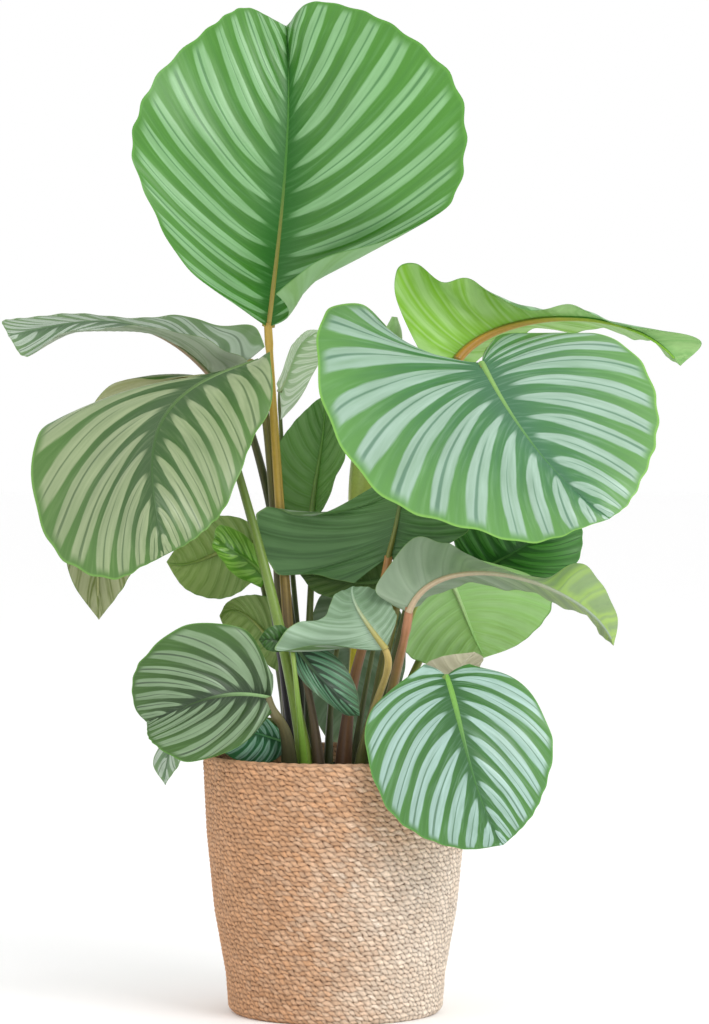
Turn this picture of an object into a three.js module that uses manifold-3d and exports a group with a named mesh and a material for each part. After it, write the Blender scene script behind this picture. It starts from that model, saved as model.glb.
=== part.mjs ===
import * as THREE from 'three';
import { mergeVertices } from 'three/addons/utils/BufferGeometryUtils.js';
import Module from 'manifold-3d';

const wasm = await Module();
wasm.setup();
const { Manifold, Mesh } = wasm;

// Driving sizes, mm. The origin is the middle of the basket's base, +X right, -Y front, +Z up.
const BASKET_HEIGHT = 202;
const BASKET_WALL = 5;
const FLOOR = 5;
const CORD_ROWS = 17;
const CORD_RELIEF = 1.7;
const STRAND_RELIEF = 0.5;
const BASKET_SIDES = 32;
const POT_TOP = 187;
const POT_WALL = 1.6;
const POT_LIP = 2.2;
const POT_SIDES = 24;
const SOIL_TOP = 176;
const SOIL_DOME = 3;
const FOOT_HEIGHT = 152;
const CLEAR = 0.3;
const BLADE_THICKNESS = 0.9;
const RIB_RIDGE = 1.1;

// The basket's outline: height and outer radius.
const BASKET_OUTLINE = [[0, 80], [4, 84], [30, 86], [80, 95], [140, 101], [BASKET_HEIGHT, 104]];
// The nursery pot's outside: height and radius.
const POT_OUTLINE = [[FLOOR + CLEAR, 70], [178, 90.5]];

// The plant is laid out as it is seen from the front: steps across and down in the view, and mm of
// depth behind the basket's axis. One step is VIEW_STEP mm at the axis, seen from VIEW_DISTANCE mm.
const VIEW_STEP = 0.78;
const VIEW_DISTANCE = 3200;
const VIEW_MIDDLE = [335.5, 512];
const VIEW_HEIGHT = 390;
const VIEW_DROP = 0.025;

function spot([across, down, depth]) {
  const step = VIEW_STEP * (1 + depth / VIEW_DISTANCE);
  const x = (across - VIEW_MIDDLE[0]) * step;
  const z = VIEW_HEIGHT - VIEW_DROP * depth + (VIEW_MIDDLE[1] - down) * step;
  return new THREE.Vector3(x, depth, z);
}

// Mesh fineness by leaf size: steps along the rib, and the shares of a vein where points lie.
const FINE = { big: 14, mid: 8, small: 6 };
const VEIN_SHARES = {
  big: [0, 0.07, 0.3, 0.56, 0.8, 1],
  mid: [0, 0.1, 0.42, 0.75, 1],
  small: [0, 0.14, 0.6, 1],
};
const STALK_RADII = { big: [5, 2.7], mid: [4, 2.1], small: [2.8, 1.5] };

// Each leaf: rib from base to tip, margins of the left and right half (upper side seen, tip up) from
// the base lobe to the tip, two spots on the stalk from the blade down, and the foot's x and y in mm.
// wave is the margin's height in mm, its count and its start; arch lifts the veins' middles, and
// crowding brings their starts nearer the base.
const LEAVES = {
  top: {
    size: 'big', wave: [4, 4, 0.5], stalk: [[275, 440, 46], [286, 600, 28]], foot: [-27, 8],
    rib: [[267, 327, 50], [279, 238, 30], [288, 128, 18], [286, 27, 45]],
    left: [[245, 311, 22], [190, 270, -4], [150, 205, -16], [133, 145, -18], [152, 84, -6], [210, 28, 15],
      [250, 9, 35]],
    right: [[276, 294, 4], [316, 261, -26], [394, 238, -40], [452, 200, -40], [467, 140, -36],
      [447, 72, -22], [385, 22, 5], [318, 2, 30]],
    arch: { left: 0.06, right: [-0.26, 0.1, 0.06] },
  },
  right_big: {
    size: 'big', wave: [3, 3, 0.5], stalk: [[448, 470, 28], [408, 610, 10]], foot: [21, 8],
    rib: [[482, 362, 5], [518, 424, -50], [562, 478, -85], [610, 519, -100]],
    left: [[486, 348, 45], [504, 335, 55], [560, 330, 52], [600, 336, 40], [640, 362, 10],
      [658, 402, -22], [655, 448, -60], [641, 484, -84], [626, 506, -95]],
    right: [[389, 330, 44], [362, 303, 42], [328, 308, 36], [317, 345, 20], [322, 400, -10],
      [345, 450, -40], [384, 496, -65], [430, 520, -82], [478, 532, -95], [523, 541, -102],
      [560, 536, -106], [588, 527, -104]],
    arch: { left: [-0.02, 0.05, 0.1], right: [-0.22, 0.06, 0.1] }, crowding: 3,
  },
  left_big: {
    size: 'big', wave: [3, 3, 0.5], stalk: [[268, 440, 56], [280, 600, 42]], foot: [-30, 20],
    rib: [[258, 360, 38], [172, 406, -15], [152, 472, -75], [164, 556, -95]],
    left: [[270, 352, 28], [272, 400, 10], [254, 437, -15], [242, 468, -38], [226, 507, -62],
      [206, 530, -80], [187, 544, -90]],
    right: [[222, 392, 66], [135, 420, 52], [62, 421, 20], [34, 450, -10], [35, 508, -45],
      [58, 554, -75], [88, 574, -90], [118, 577, -96], [145, 566, -97]],
  },
  far_left: {
    size: 'big', wave: [2, 4, 0.5], stalk: [[246, 500, 14], [280, 630, -18]], foot: [-16, -12],
    rib: [[216, 380, 84], [150, 330, 80], [80, 322, 75], [8, 336, 66]],
    left: [[250, 362, 62], [232, 352, 50], [205, 342, 40], [165, 327, 38], [115, 329, 40],
      [72, 330, 42], [28, 356, 50]],
    right: [[264, 347, 130], [256, 328, 138], [228, 325, 138], [190, 319, 130], [140, 316, 122],
      [70, 316, 108], [6, 318, 88]],
    arch: { left: -0.1, right: -0.1 },
  },
  left_back: {
    size: 'big', wave: [3, 3, 0.5], stalk: [[264, 480, 90], [288, 610, 70]], foot: [-18, 42],
    rib: [[240, 392, 110], [165, 385, 132], [112, 460, 132], [98, 620, 105]],
    left: [[236, 378, 104], [180, 375, 110], [125, 381, 112], [84, 420, 112], [68, 490, 112],
      [68, 575, 100]],
    right: [[245, 410, 120], [215, 430, 135], [185, 470, 142], [165, 510, 142], [143, 545, 132],
      [124, 585, 118]],
  },
  left_mid: {
    size: 'mid', wave: [2, 2, 0.5], stalk: [[266, 600, 72], [282, 690, 64]], foot: [-33, 46],
    rib: [[255, 545, 46], [225, 550, 58], [195, 562, 64], [166, 562, 62]],
    left: [[252, 524, 48], [232, 516, 55], [208, 518, 60], [184, 536, 64]],
    right: [[260, 574, 48], [240, 592, 55], [214, 599, 60], [184, 588, 64]],
  },
  left_curl: {
    size: 'small', wave: [1, 2, 0.5], stalk: [[280, 660, 8], [287, 710, 2]], foot: [-24, -4],
    rib: [[267, 580, 30], [250, 562, 18], [232, 550, 12], [214, 538, 16]],
    left: [[262, 588, 22], [240, 578, 6], [224, 564, 0], [213, 548, 6]],
    right: [[264, 560, 26], [250, 540, 14], [232, 528, 6], [218, 526, 8]],
    arch: { left: -0.15, right: -0.15 },
  },
  left_low_back: {
    size: 'small', wave: [2, 2, 0.5], stalk: [[283, 690, 42], [285, 735, 37]], foot: [-39, 33],
    rib: [[278, 650, 42], [260, 628, 52], [240, 612, 58], [219, 616, 56]],
    left: [[275, 602, 45], [260, 595, 52], [242, 596, 56], [226, 603, 58]],
    right: [[277, 672, 40], [262, 660, 48], [244, 644, 54], [226, 630, 57]],
  },
  left_low: {
    size: 'big', wave: [1.5, 3, 0.5], stalk: [[279, 720, -56], [288, 745, -48]], foot: [-36, -38],
    crowding: 1.5,
    rib: [[271, 698, -60], [228, 695, -84], [190, 705, -90], [147, 723, -78]],
    left: [[273, 712, -62], [238, 748, -78], [192, 762, -86], [162, 751, -86], [150, 740, -82],
      [147, 731, -79]],
    right: [[273, 675, -62], [246, 630, -75], [185, 626, -85], [146, 655, -85], [133, 680, -80],
      [134, 706, -76]],
  },
  left_rim: {
    size: 'small', wave: [1, 2, 0.5], stalk: [[290, 752, -31], [294, 768, -27]], foot: [-29, -27],
    rib: [[284, 742, -35], [262, 735, -48], [242, 732, -54], [216, 738, -56]],
    left: [[283, 754, -32], [266, 764, -38], [244, 763, -42], [222, 751, -50]],
    right: [[280, 730, -38], [262, 715, -50], [240, 712, -56], [222, 720, -58]],
  },
  left_hang: {
    size: 'small', wave: [2, 2, 0.5], stalk: [[274, 722, 0], [288, 745, 5]], foot: [-37, -10],
    rib: [[262, 722, -5], [215, 712, 0], [180, 730, 0], [165, 786, -5]],
    left: [[258, 728, -18], [228, 722, -26], [200, 735, -28], [181, 758, -20]],
    right: [[258, 716, 12], [222, 702, 22], [185, 712, 25], [153, 755, 15]],
  },
  small_dark: {
    size: 'small', wave: [0.5, 2, 0.5], stalk: [[296, 680, -54], [301, 730, -46]], foot: [-20, -28],
    rib: [[292, 640, -40], [281, 641, -44], [270, 640, -46], [259, 640, -44]],
    left: [[291, 647, -41], [280, 652, -46], [267, 650, -47]],
    right: [[290, 630, -41], [280, 625, -44], [267, 629, -46]],
  },
  mid_dark: {
    size: 'mid', wave: [1, 2, 0.5], stalk: [[308, 690, -26], [316, 740, -22]], foot: [-8, -24],
    crowding: 2,
    rib: [[293, 642, -27], [308, 664, -38], [330, 688, -44], [360, 716, -41]],
    left: [[302, 636, -24], [322, 646, -32], [343, 664, -38], [358, 692, -38]],
    right: [[289, 652, -29], [300, 678, -40], [322, 698, -46], [342, 714, -40]],
  },
  mid_pale: {
    size: 'mid', wave: [1.5, 3, 0.5], stalk: [[385, 680, -45], [368, 730, -30]], foot: [17, -18],
    rib: [[386, 650, -55], [370, 628, -50], [356, 605, -42], [353, 586, -30]],
    left: [[390, 640, -52], [397, 618, -45], [392, 606, -38], [378, 590, -30]],
    right: [[355, 648, -58], [318, 645, -58], [276, 650, -52], [295, 624, -48], [324, 617, -42],
      [336, 594, -34]],
  },
  mid_wide: {
    size: 'big', wave: [2, 4, 0.5], stalk: [[372, 620, 10], [352, 690, 5]], foot: [5, 2],
    rib: [[388, 558, 14], [396, 525, 9], [401, 495, 9], [404, 468, 10]],
    left: [[398, 562, 12], [414, 550, 4], [445, 545, 0], [470, 528, -4], [468, 500, -2], [440, 478, 5]],
    right: [[354, 583, 14], [315, 575, 20], [276, 572, 26], [256, 532, 28], [266, 507, 28],
      [318, 515, 16]],
  },
  mid_low: {
    size: 'small', wave: [1, 2, 0.5], stalk: [[375, 640, 30], [360, 720, 25]], foot: [11, 18],
    rib: [[385, 580, 34], [360, 583, 36], [335, 580, 38], [300, 575, 38]],
    left: [[385, 560, 34], [355, 555, 36], [320, 560, 38]],
    right: [[385, 598, 32], [355, 600, 34], [318, 594, 36]],
  },
  right_top: {
    size: 'big', wave: [3, 4, 0.5], stalk: [[425, 480, 68], [388, 640, 55]], foot: [18, 34],
    rib: [[455, 359, 60], [520, 322, 70], [610, 322, 65], [680, 366, 50]],
    left: [[470, 366, 95], [505, 345, 120], [545, 330, 130], [590, 331, 125], [632, 336, 105],
      [660, 350, 76]],
    right: [[421, 354, 45], [395, 300, 28], [397, 272, 22], [416, 264, 18], [440, 280, 24],
      [466, 279, 26], [492, 296, 35], [530, 307, 46], [566, 306, 52], [602, 322, 50], [660, 328, 46],
      [700, 342, 38]],
  },
  slim_back: {
    size: 'small', wave: [1, 2, 0.5], stalk: [[284, 480, 92], [298, 640, 80]], foot: [-18, 54],
    rib: [[279, 392, 74], [290, 366, 80], [300, 345, 84], [322, 330, 86]],
    left: [[276, 384, 74], [285, 362, 76], [293, 342, 80], [306, 331, 84]],
    right: [[280, 420, 79], [292, 408, 90], [308, 382, 96], [320, 360, 94]],
  },
  mid_back: {
    size: 'mid', wave: [1.5, 3, 0.5], stalk: [[310, 600, 55], [308, 700, 42]], foot: [-14, 24],
    rib: [[312, 520, 68], [316, 480, 76], [322, 440, 80], [324, 396, 78]],
    left: [[323, 508, 62], [336, 478, 57], [344, 455, 57], [341, 432, 62], [334, 410, 70]],
    right: [[285, 515, 72], [271, 492, 72], [272, 455, 72], [291, 426, 72], [310, 405, 75]],
  },
  right_dark: {
    size: 'mid', wave: [1.5, 2, 0.5], stalk: [[440, 620, 112], [402, 700, 80]], foot: [24, 46],
    rib: [[470, 575, 108], [505, 557, 104], [535, 538, 102], [568, 508, 104]],
    left: [[455, 550, 105], [452, 520, 100], [480, 500, 98], [525, 495, 100]],
    right: [[498, 583, 108], [540, 583, 104], [575, 565, 102], [582, 530, 104]],
  },
  right_long: {
    size: 'big', wave: [2, 4, 0.5], stalk: [[402, 650, -38], [388, 710, -24]], foot: [25, -8],
    rib: [[408, 612, -45], [470, 573, -40], [560, 593, -25], [614, 646, -15]],
    left: [[420, 606, 0], [440, 592, 25], [470, 585, 40], [505, 588, 45], [540, 598, 42],
      [575, 610, 30], [598, 630, 8]],
    right: [[394, 606, -40], [376, 590, -42], [392, 562, -38], [414, 537, -30], [438, 543, -26],
      [456, 546, -22], [484, 561, -16], [510, 574, -12], [546, 577, -8], [578, 562, -2], [600, 584, 0],
      [618, 618, -8]],
  },
  right_light: {
    size: 'mid', wave: [1.5, 2, 0.5], stalk: [[415, 605, 66], [396, 670, 48]], foot: [28, 22],
    rib: [[440, 560, 80], [458, 598, 90], [470, 628, 90], [484, 658, 80]],
    left: [[425, 575, 78], [408, 610, 80], [404, 650, 82], [435, 665, 82]],
    right: [[480, 560, 82], [530, 575, 85], [552, 604, 85], [525, 640, 82]],
  },
  front_back: {
    size: 'small', wave: [1, 2, 0.5], stalk: [[436, 733, -52], [410, 757, -42]], foot: [42, -34],
    rib: [[452, 700, -60], [455, 685, -62], [460, 670, -62], [475, 652, -60]],
    left: [[465, 695, -58], [474, 680, -60], [480, 668, -60], [484, 658, -60]],
    right: [[432, 695, -58], [424, 680, -60], [425, 665, -60], [445, 656, -60]],
  },
  front_low: {
    size: 'big', wave: [1.5, 3, 0.5], stalk: [[420, 700, -70], [395, 740, -45]], foot: [28, -24],
    crowding: 1.7,
    rib: [[447, 676, -88], [461, 725, -122], [478, 788, -134], [504, 846, -130]],
    left: [[470, 664, -82], [525, 685, -98], [552, 735, -113], [550, 776, -122], [538, 808, -127],
      [520, 832, -129]],
    right: [[425, 664, -84], [373, 708, -100], [368, 755, -112], [386, 806, -122], [420, 836, -128],
      [463, 850, -130]],
  },
  back_low: {
    size: 'small', wave: [1.5, 2, 0.5], stalk: [[338, 640, 84], [330, 710, 74]], foot: [-6, 58],
    rib: [[350, 590, 88], [350, 640, 102], [348, 695, 114], [345, 756, 119]],
    left: [[335, 585, 84], [315, 605, 92], [308, 660, 104], [318, 725, 114]],
    right: [[370, 585, 84], [400, 612, 92], [404, 670, 106], [382, 730, 115]],
  },
};

// The youngest leaf is still rolled up round its rib: spots from the foot up, and radii there.
const FURLED = {
  foot: [2, 32], sides: 8, overlap: 0.22,
  spots: [[350, 700, 50], [358, 600, 68], [362, 520, 75], [366, 460, 76], [380, 395, 76], [391, 340, 75],
    [394, 317, 74]],
  radii: [3.4, 3.2, 5, 12.5, 13.5, 12.5, 9, 2.5],
};

// Curves through given points.
function through4(points, t) {
  const [p0, p1, p2, p3] = points;
  const mix = (a, b, c, d) => p0.clone().multiplyScalar(a).addScaledVector(p1, b)
    .addScaledVector(p2, c).addScaledVector(p3, d);
  const first = mix(-5 / 6, 3, -1.5, 1 / 3);
  const second = mix(1 / 3, -1.5, 3, -5 / 6);
  const s = 1 - t;
  return p0.clone().multiplyScalar(s * s * s).addScaledVector(first, 3 * s * s * t)
    .addScaledVector(second, 3 * s * t * t).addScaledVector(p3, t * t * t);
}

function slope(points, t) {
  const step = 1e-3;
  return through4(points, t + step).sub(through4(points, t - step)).normalize();
}

function evenSpline(points, share) {
  const last = points.length - 1;
  const place = share * last;
  const i = Math.min(Math.floor(place), last - 1);
  const f = place - i;
  const before = i > 0 ? points[i - 1] : points[0].clone().multiplyScalar(2).sub(points[1]);
  const beyond = points[last].clone().multiplyScalar(2).sub(points[last - 1]);
  const after = i + 2 <= last ? points[i + 2] : beyond;
  const weights = [
    -f + 2 * f * f - f ** 3,
    2 - 5 * f * f + 3 * f ** 3,
    f + 4 * f * f - 3 * f ** 3,
    -f * f + f ** 3,
  ];
  const spread = [before, points[i], points[i + 1], after];
  return spread.reduce((sum, point, k) => sum.addScaledVector(point, weights[k] / 2), new THREE.Vector3());
}

function bend3(value, t) {
  if (!Array.isArray(value)) return value;
  const [first, middle, last] = value;
  return first * (1 - t) * (1 - 2 * t) + middle * 4 * t * (1 - t) + last * t * (2 * t - 1);
}

// Blade surface: u runs along the rib and picks a vein, v runs along that vein to the margin.
const VEIN_CROWDING = 1.25;
const EVEN_SHARE = 0.05;
const VEIN_BOW = [0.05, 0.14, 0.1];
const ARCH = 0.06;

function ribShare(leaf, u) {
  return EVEN_SHARE * u + (1 - EVEN_SHARE) * u ** (leaf.crowding ?? VEIN_CROWDING);
}

function bladePoint(leaf, half, u, v) {
  const side = half === 'left' ? 1 : -1;
  const s = ribShare(leaf, u);
  const onRib = through4(leaf.ribPoints, s);
  const along = slope(leaf.ribPoints, s);
  const onMargin = evenSpline(leaf.marginPoints[half], u);
  const vein = onMargin.clone().sub(onRib);
  const reach = vein.length();
  const up = new THREE.Vector3().crossVectors(along, vein).multiplyScalar(side).normalize();
  const arch = bend3(leaf.arch ? leaf.arch[half] : ARCH, u);
  const middle = onRib.clone().add(onMargin).multiplyScalar(0.5)
    .addScaledVector(along, -bend3(VEIN_BOW, u) * reach).addScaledVector(up, 2 * arch * reach);
  const [height, count, start] = leaf.wave;
  const fade = Math.sin(Math.PI / 2 * Math.min(1, 5 * u, 5 * (1 - u)));
  const ripple = height * v * v * Math.sin(2 * Math.PI * count * u + start + (side > 0 ? 0 : 2.1)) * fade;
  return onRib.multiplyScalar((1 - v) ** 2).addScaledVector(middle, 2 * v * (1 - v))
    .addScaledVector(onMargin, v * v).addScaledVector(up, ripple);
}

// A closed body from points and triangles.
function solid(points, faces) {
  const vertProperties = new Float32Array(points.flatMap((p) => [p.x, p.y, p.z]));
  return new Manifold(new Mesh({ numProp: 3, vertProperties, triVerts: new Uint32Array(faces.flat()) }));
}

// Blade: one sheet of points, copied above and below it with the same triangles, closed round the edge.
function bladeBody(leaf) {
  const rows = FINE[leaf.size];
  const shares = VEIN_SHARES[leaf.size];
  const veins = shares.length - 1;
  const columns = 2 * veins + 1;
  const sheet = [];
  for (let i = 0; i < rows; i += 1) {
    for (let j = -veins; j <= veins; j += 1) {
      sheet.push(bladePoint(leaf, j < 0 ? 'right' : 'left', i / rows, shares[Math.abs(j)]));
    }
  }
  const tip = sheet.push(through4(leaf.ribPoints, 1)) - 1;
  const at = (i, j) => (i < rows ? i * columns + j : tip);
  const faces = [];
  for (let i = 0; i < rows; i += 1) {
    for (let j = 0; j < columns - 1; j += 1) {
      const [a, b, c, d] = [at(i, j), at(i + 1, j), at(i + 1, j + 1), at(i, j + 1)];
      if (i === rows - 1) faces.push([a, tip, d]);
      else if (j < veins) faces.push([a, b, d], [b, c, d]);
      else faces.push([a, b, c], [a, c, d]);
    }
  }
  const normals = sheet.map(() => new THREE.Vector3());
  for (const face of faces) {
    const [p, q, r] = face.map((k) => sheet[k]);
    const normal = q.clone().sub(p).cross(r.clone().sub(p));
    face.forEach((k) => normals[k].add(normal));
  }
  normals.forEach((normal) => normal.normalize());
  const count = sheet.length;
  const upper = sheet.map((p, k) => p.clone().addScaledVector(normals[k], BLADE_THICKNESS / 2));
  const lower = sheet.map((p, k) => {
    const row = Math.floor(k / columns);
    const onRib = k < tip && k % columns === veins;
    const depth = BLADE_THICKNESS / 2 + (onRib ? RIB_RIDGE * (1 - row / rows) : 0);
    return p.clone().addScaledVector(normals[k], -depth);
  });
  const edge = [];
  for (let j = columns - 1; j >= 0; j -= 1) edge.push(at(0, j));
  for (let i = 1; i < rows; i += 1) edge.push(at(i, 0));
  edge.push(tip);
  for (let i = rows - 1; i > 0; i -= 1) edge.push(at(i, columns - 1));
  const below = faces.map(([a, b, c]) => [c + count, b + count, a + count]);
  const walls = edge.flatMap((p, k) => {
    const q = edge[(k + 1) % edge.length];
    return [[q, p, p + count], [q, p + count, q + count]];
  });
  return solid([...upper, ...lower], [...faces, ...below, ...walls]);
}

// A round rod along a list of points, with a radius at each; overlap makes a rolled-up edge.
function rod(points, radii, sides, overlap = 0) {
  const rings = [];
  let across = new THREE.Vector3(1, 0, 0);
  points.forEach((point, i) => {
    const before = points[Math.max(i - 1, 0)];
    const after = points[Math.min(i + 1, points.length - 1)];
    const ahead = after.clone().sub(before).normalize();
    across = across.clone().addScaledVector(ahead, -across.dot(ahead)).normalize();
    const other = new THREE.Vector3().crossVectors(ahead, across);
    for (let k = 0; k < sides; k += 1) {
      const angle = 2 * Math.PI * k / sides;
      const radius = radii[i] * (1 - overlap * k / (sides - 1));
      rings.push(point.clone().addScaledVector(across, radius * Math.cos(angle))
        .addScaledVector(other, radius * Math.sin(angle)));
    }
  });
  const start = rings.push(points[0].clone()) - 1;
  const end = rings.push(points[points.length - 1].clone()) - 1;
  const faces = [];
  for (let k = 0; k < sides; k += 1) {
    const next = (k + 1) % sides;
    faces.push([start, next, k]);
    for (let i = 0; i < points.length - 1; i += 1) {
      const [a, b] = [i * sides + k, i * sides + next];
      faces.push([a, b, b + sides], [a, b + sides, a + sides]);
    }
    const ring = (points.length - 1) * sides;
    faces.push([ring + k, ring + next, end]);
  }
  return solid(rings, faces);
}

const STALK_STEPS = 6;
const STALK_SIDES = 5;

// The stalk runs from its foot in the soil up to the rib's first stretch, and is part of the leaf.
function stalkPath(leaf) {
  const foot = new THREE.Vector3(leaf.foot[0], leaf.foot[1], FOOT_HEIGHT);
  const [upperSpot, lowerSpot] = leaf.stalk.map(spot);
  const joint = through4(leaf.ribPoints, 0.02);
  const path = [foot, lowerSpot, upperSpot, joint];
  const points = [];
  for (let i = 0; i <= STALK_STEPS; i += 1) points.push(through4(path, i / STALK_STEPS));
  return points;
}

function stalkRadii(leaf, extra = 0) {
  const [foot, top] = STALK_RADII[leaf.size];
  const radii = [];
  for (let i = 0; i <= STALK_STEPS; i += 1) radii.push(foot + (top - foot) * i / STALK_STEPS + extra);
  return radii;
}

// A body turned round the Z axis from rows of height, radius and strand relief; it ends on the axis.
function turned(rows, sides) {
  const points = [new THREE.Vector3(0, 0, rows[0][0])];
  rows.forEach(([height, radius, relief = 0], i) => {
    for (let k = 0; k < sides; k += 1) {
      const angle = 2 * Math.PI * k / sides;
      const r = radius + ((k + i) % 2 ? relief : -relief);
      points.push(new THREE.Vector3(r * Math.cos(angle), r * Math.sin(angle), height));
    }
  });
  const top = points.push(new THREE.Vector3(0, 0, rows[rows.length - 1][0])) - 1;
  const faces = [];
  for (let k = 0; k < sides; k += 1) {
    const next = (k + 1) % sides;
    faces.push([0, 1 + next, 1 + k]);
    for (let i = 0; i < rows.length - 1; i += 1) {
      const [a, b] = [1 + i * sides + k, 1 + i * sides + next];
      faces.push([a, b, b + sides], [a, b + sides, a + sides]);
    }
    const last = 1 + (rows.length - 1) * sides;
    faces.push([last + k, last + next, top]);
  }
  return solid(points, faces);
}

function radiusAt(outline, height) {
  let i = 0;
  while (i < outline.length - 2 && height > outline[i + 1][0]) i += 1;
  const [[z0, r0], [z1, r1]] = [outline[i], outline[i + 1]];
  return r0 + (r1 - r0) * (height - z0) / (z1 - z0);
}

function basketBody() {
  const first = 3;
  const pitch = (BASKET_HEIGHT - first) / CORD_ROWS;
  const rows = [[0, BASKET_OUTLINE[0][1] - 2]];
  for (let i = 0; i < CORD_ROWS; i += 1) {
    const low = first + i * pitch;
    const middle = low + pitch / 2;
    rows.push([low, radiusAt(BASKET_OUTLINE, low) - CORD_RELIEF / 2]);
    rows.push([middle, radiusAt(BASKET_OUTLINE, middle) + CORD_RELIEF / 2, STRAND_RELIEF]);
  }
  rows.push([BASKET_HEIGHT, radiusAt(BASKET_OUTLINE, BASKET_HEIGHT) - 1.5]);
  const inside = [BASKET_HEIGHT, 140, 80, 30, FLOOR];
  inside.forEach((height) => rows.push([height, radiusAt(BASKET_OUTLINE, height) - BASKET_WALL]));
  return turned(rows, BASKET_SIDES);
}

function nurseryPotBody() {
  const [[low, lowRadius], [high, highRadius]] = POT_OUTLINE;
  return turned([
    [low, lowRadius - 2], [low + 2, lowRadius], [high, highRadius],
    [high, highRadius + POT_LIP], [POT_TOP, highRadius + POT_LIP],
    [POT_TOP, highRadius + POT_LIP - POT_WALL], [high - 2, highRadius - POT_WALL],
    [low + POT_WALL + 0.4, lowRadius - POT_WALL],
  ], POT_SIDES);
}

function soilBody(stalks) {
  const gap = POT_WALL + CLEAR + 1;
  const bottom = POT_OUTLINE[0][0] + POT_WALL + CLEAR + 1;
  const profile = [
    [bottom, POT_OUTLINE[0][1] - gap], [SOIL_TOP - 4, radiusAt(POT_OUTLINE, SOIL_TOP - 4) - gap],
    [SOIL_TOP - 1, 80], [SOIL_TOP + SOIL_DOME, 35],
  ];
  let body = turned(profile, POT_SIDES);
  for (const hole of stalks) body = body.subtract(hole);
  return body;
}

// Nodes.
function node(name, body, color) {
  const { vertProperties, triVerts } = body.getMesh();
  const geometry = new THREE.BufferGeometry();
  geometry.setAttribute('position', new THREE.BufferAttribute(vertProperties, 3));
  geometry.setIndex(new THREE.BufferAttribute(triVerts, 1));
  const welded = mergeVertices(geometry, 1e-4);
  welded.computeVertexNormals();
  const mesh = new THREE.Mesh(welded, new THREE.MeshStandardMaterial({ color, roughness: 0.6 }));
  mesh.name = name;
  return mesh;
}

const COLORS = { leaf: 0x6f9f5c, furled: 0xb5b84e, basket: 0xc79f7a, pot: 0x23221f, soil: 0x3b2a1e };

const part = new THREE.Group();
part.name = 'potted_calathea';
const holes = [];

for (const [name, leaf] of Object.entries(LEAVES)) {
  leaf.ribPoints = leaf.rib.map(spot);
  const tip = leaf.ribPoints[3];
  leaf.marginPoints = { left: [...leaf.left.map(spot), tip], right: [...leaf.right.map(spot), tip] };
  const path = stalkPath(leaf);
  const stalk = rod(path, stalkRadii(leaf), STALK_SIDES);
  part.add(node(`leaf_${name}`, bladeBody(leaf).add(stalk), COLORS.leaf));
  path[0].z -= CLEAR;
  holes.push(rod(path, stalkRadii(leaf, CLEAR * 1.4), STALK_SIDES));
}

const furledFoot = new THREE.Vector3(FURLED.foot[0], FURLED.foot[1], FOOT_HEIGHT);
const furledPath = [furledFoot, ...FURLED.spots.map(spot)];
part.add(node('leaf_furled', rod(furledPath, FURLED.radii, FURLED.sides, FURLED.overlap), COLORS.furled));
const furledHole = furledPath.map((point) => point.clone());
furledHole[0].z -= CLEAR;
holes.push(rod(furledHole, FURLED.radii.map((r) => r + CLEAR * 1.4), FURLED.sides, FURLED.overlap));

part.add(node('soil', soilBody(holes), COLORS.soil));
part.add(node('nursery_pot', nurseryPotBody(), COLORS.pot));
part.add(node('basket', basketBody(), COLORS.basket));

export default part;
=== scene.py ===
import math

import bmesh
import bpy
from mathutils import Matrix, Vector, noise


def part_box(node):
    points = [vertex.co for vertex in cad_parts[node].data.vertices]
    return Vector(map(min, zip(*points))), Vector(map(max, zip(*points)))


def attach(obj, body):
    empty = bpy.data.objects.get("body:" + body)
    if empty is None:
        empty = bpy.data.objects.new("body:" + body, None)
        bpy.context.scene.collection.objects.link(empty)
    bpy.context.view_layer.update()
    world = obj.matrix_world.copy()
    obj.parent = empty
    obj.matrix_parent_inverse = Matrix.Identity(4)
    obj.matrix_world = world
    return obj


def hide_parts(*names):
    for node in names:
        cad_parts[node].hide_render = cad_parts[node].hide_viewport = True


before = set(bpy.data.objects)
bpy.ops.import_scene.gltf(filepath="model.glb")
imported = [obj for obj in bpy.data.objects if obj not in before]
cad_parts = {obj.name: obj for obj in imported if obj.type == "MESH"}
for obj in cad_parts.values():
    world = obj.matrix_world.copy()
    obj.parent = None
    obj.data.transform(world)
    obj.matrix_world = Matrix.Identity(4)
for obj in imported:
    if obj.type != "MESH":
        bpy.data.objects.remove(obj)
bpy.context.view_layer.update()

# Meshes: metres in a mm, how near joined corners lie in metres, and the least angle of a sharp edge
MM = 0.001
MERGE = 2e-6
CREASE = math.radians(60)

# Sizes are in mm unless a comment or a name says otherwise.
# Blades: the mesh's columns crowd at the rib, and the veins at the base but for an even share.
# The veins bow to the tip and arch up by shares of their length, and both sides meet AT_EDGE.
BLADE_THICKNESS = 0.6
COLUMN_CROWDING = 1.5
VEIN_CROWDING = 1.25
EVEN_SHARE = 0.05
VEIN_BOW = (0.05, 0.14, 0.1)
ARCH = 0.06
AT_EDGE = 1e-4

# Waves of the margin, in radians, and how steeply waves and pleats fade in at base and tip
WAVE_START = 0.5
OTHER_HALF_START = 2.1
WAVE_FADE = 5
PLEAT_FADE = 8

# Relief of a blade: pleats that are lower at the margin, scallops as a share of a vein, and buckles
PLEAT_DROP = 0.45
SCALLOP = 0.007
BUCKLE = 0.9
BUCKLES_PER_MM = 0.035

# Steps for measuring a slope or a normal, as shares of the blade, and rounds of halving
SLOPE_STEP = 1e-3
NORMAL_STEP = 0.003
HALVINGS = 20

# Stripes: how far they sweep to the tip, how the halves are out of step, and silver's usual share
SWEEP = 0.1
HALF_SHIFT = 0.45
SILVER_WIDTH = 0.65

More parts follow.
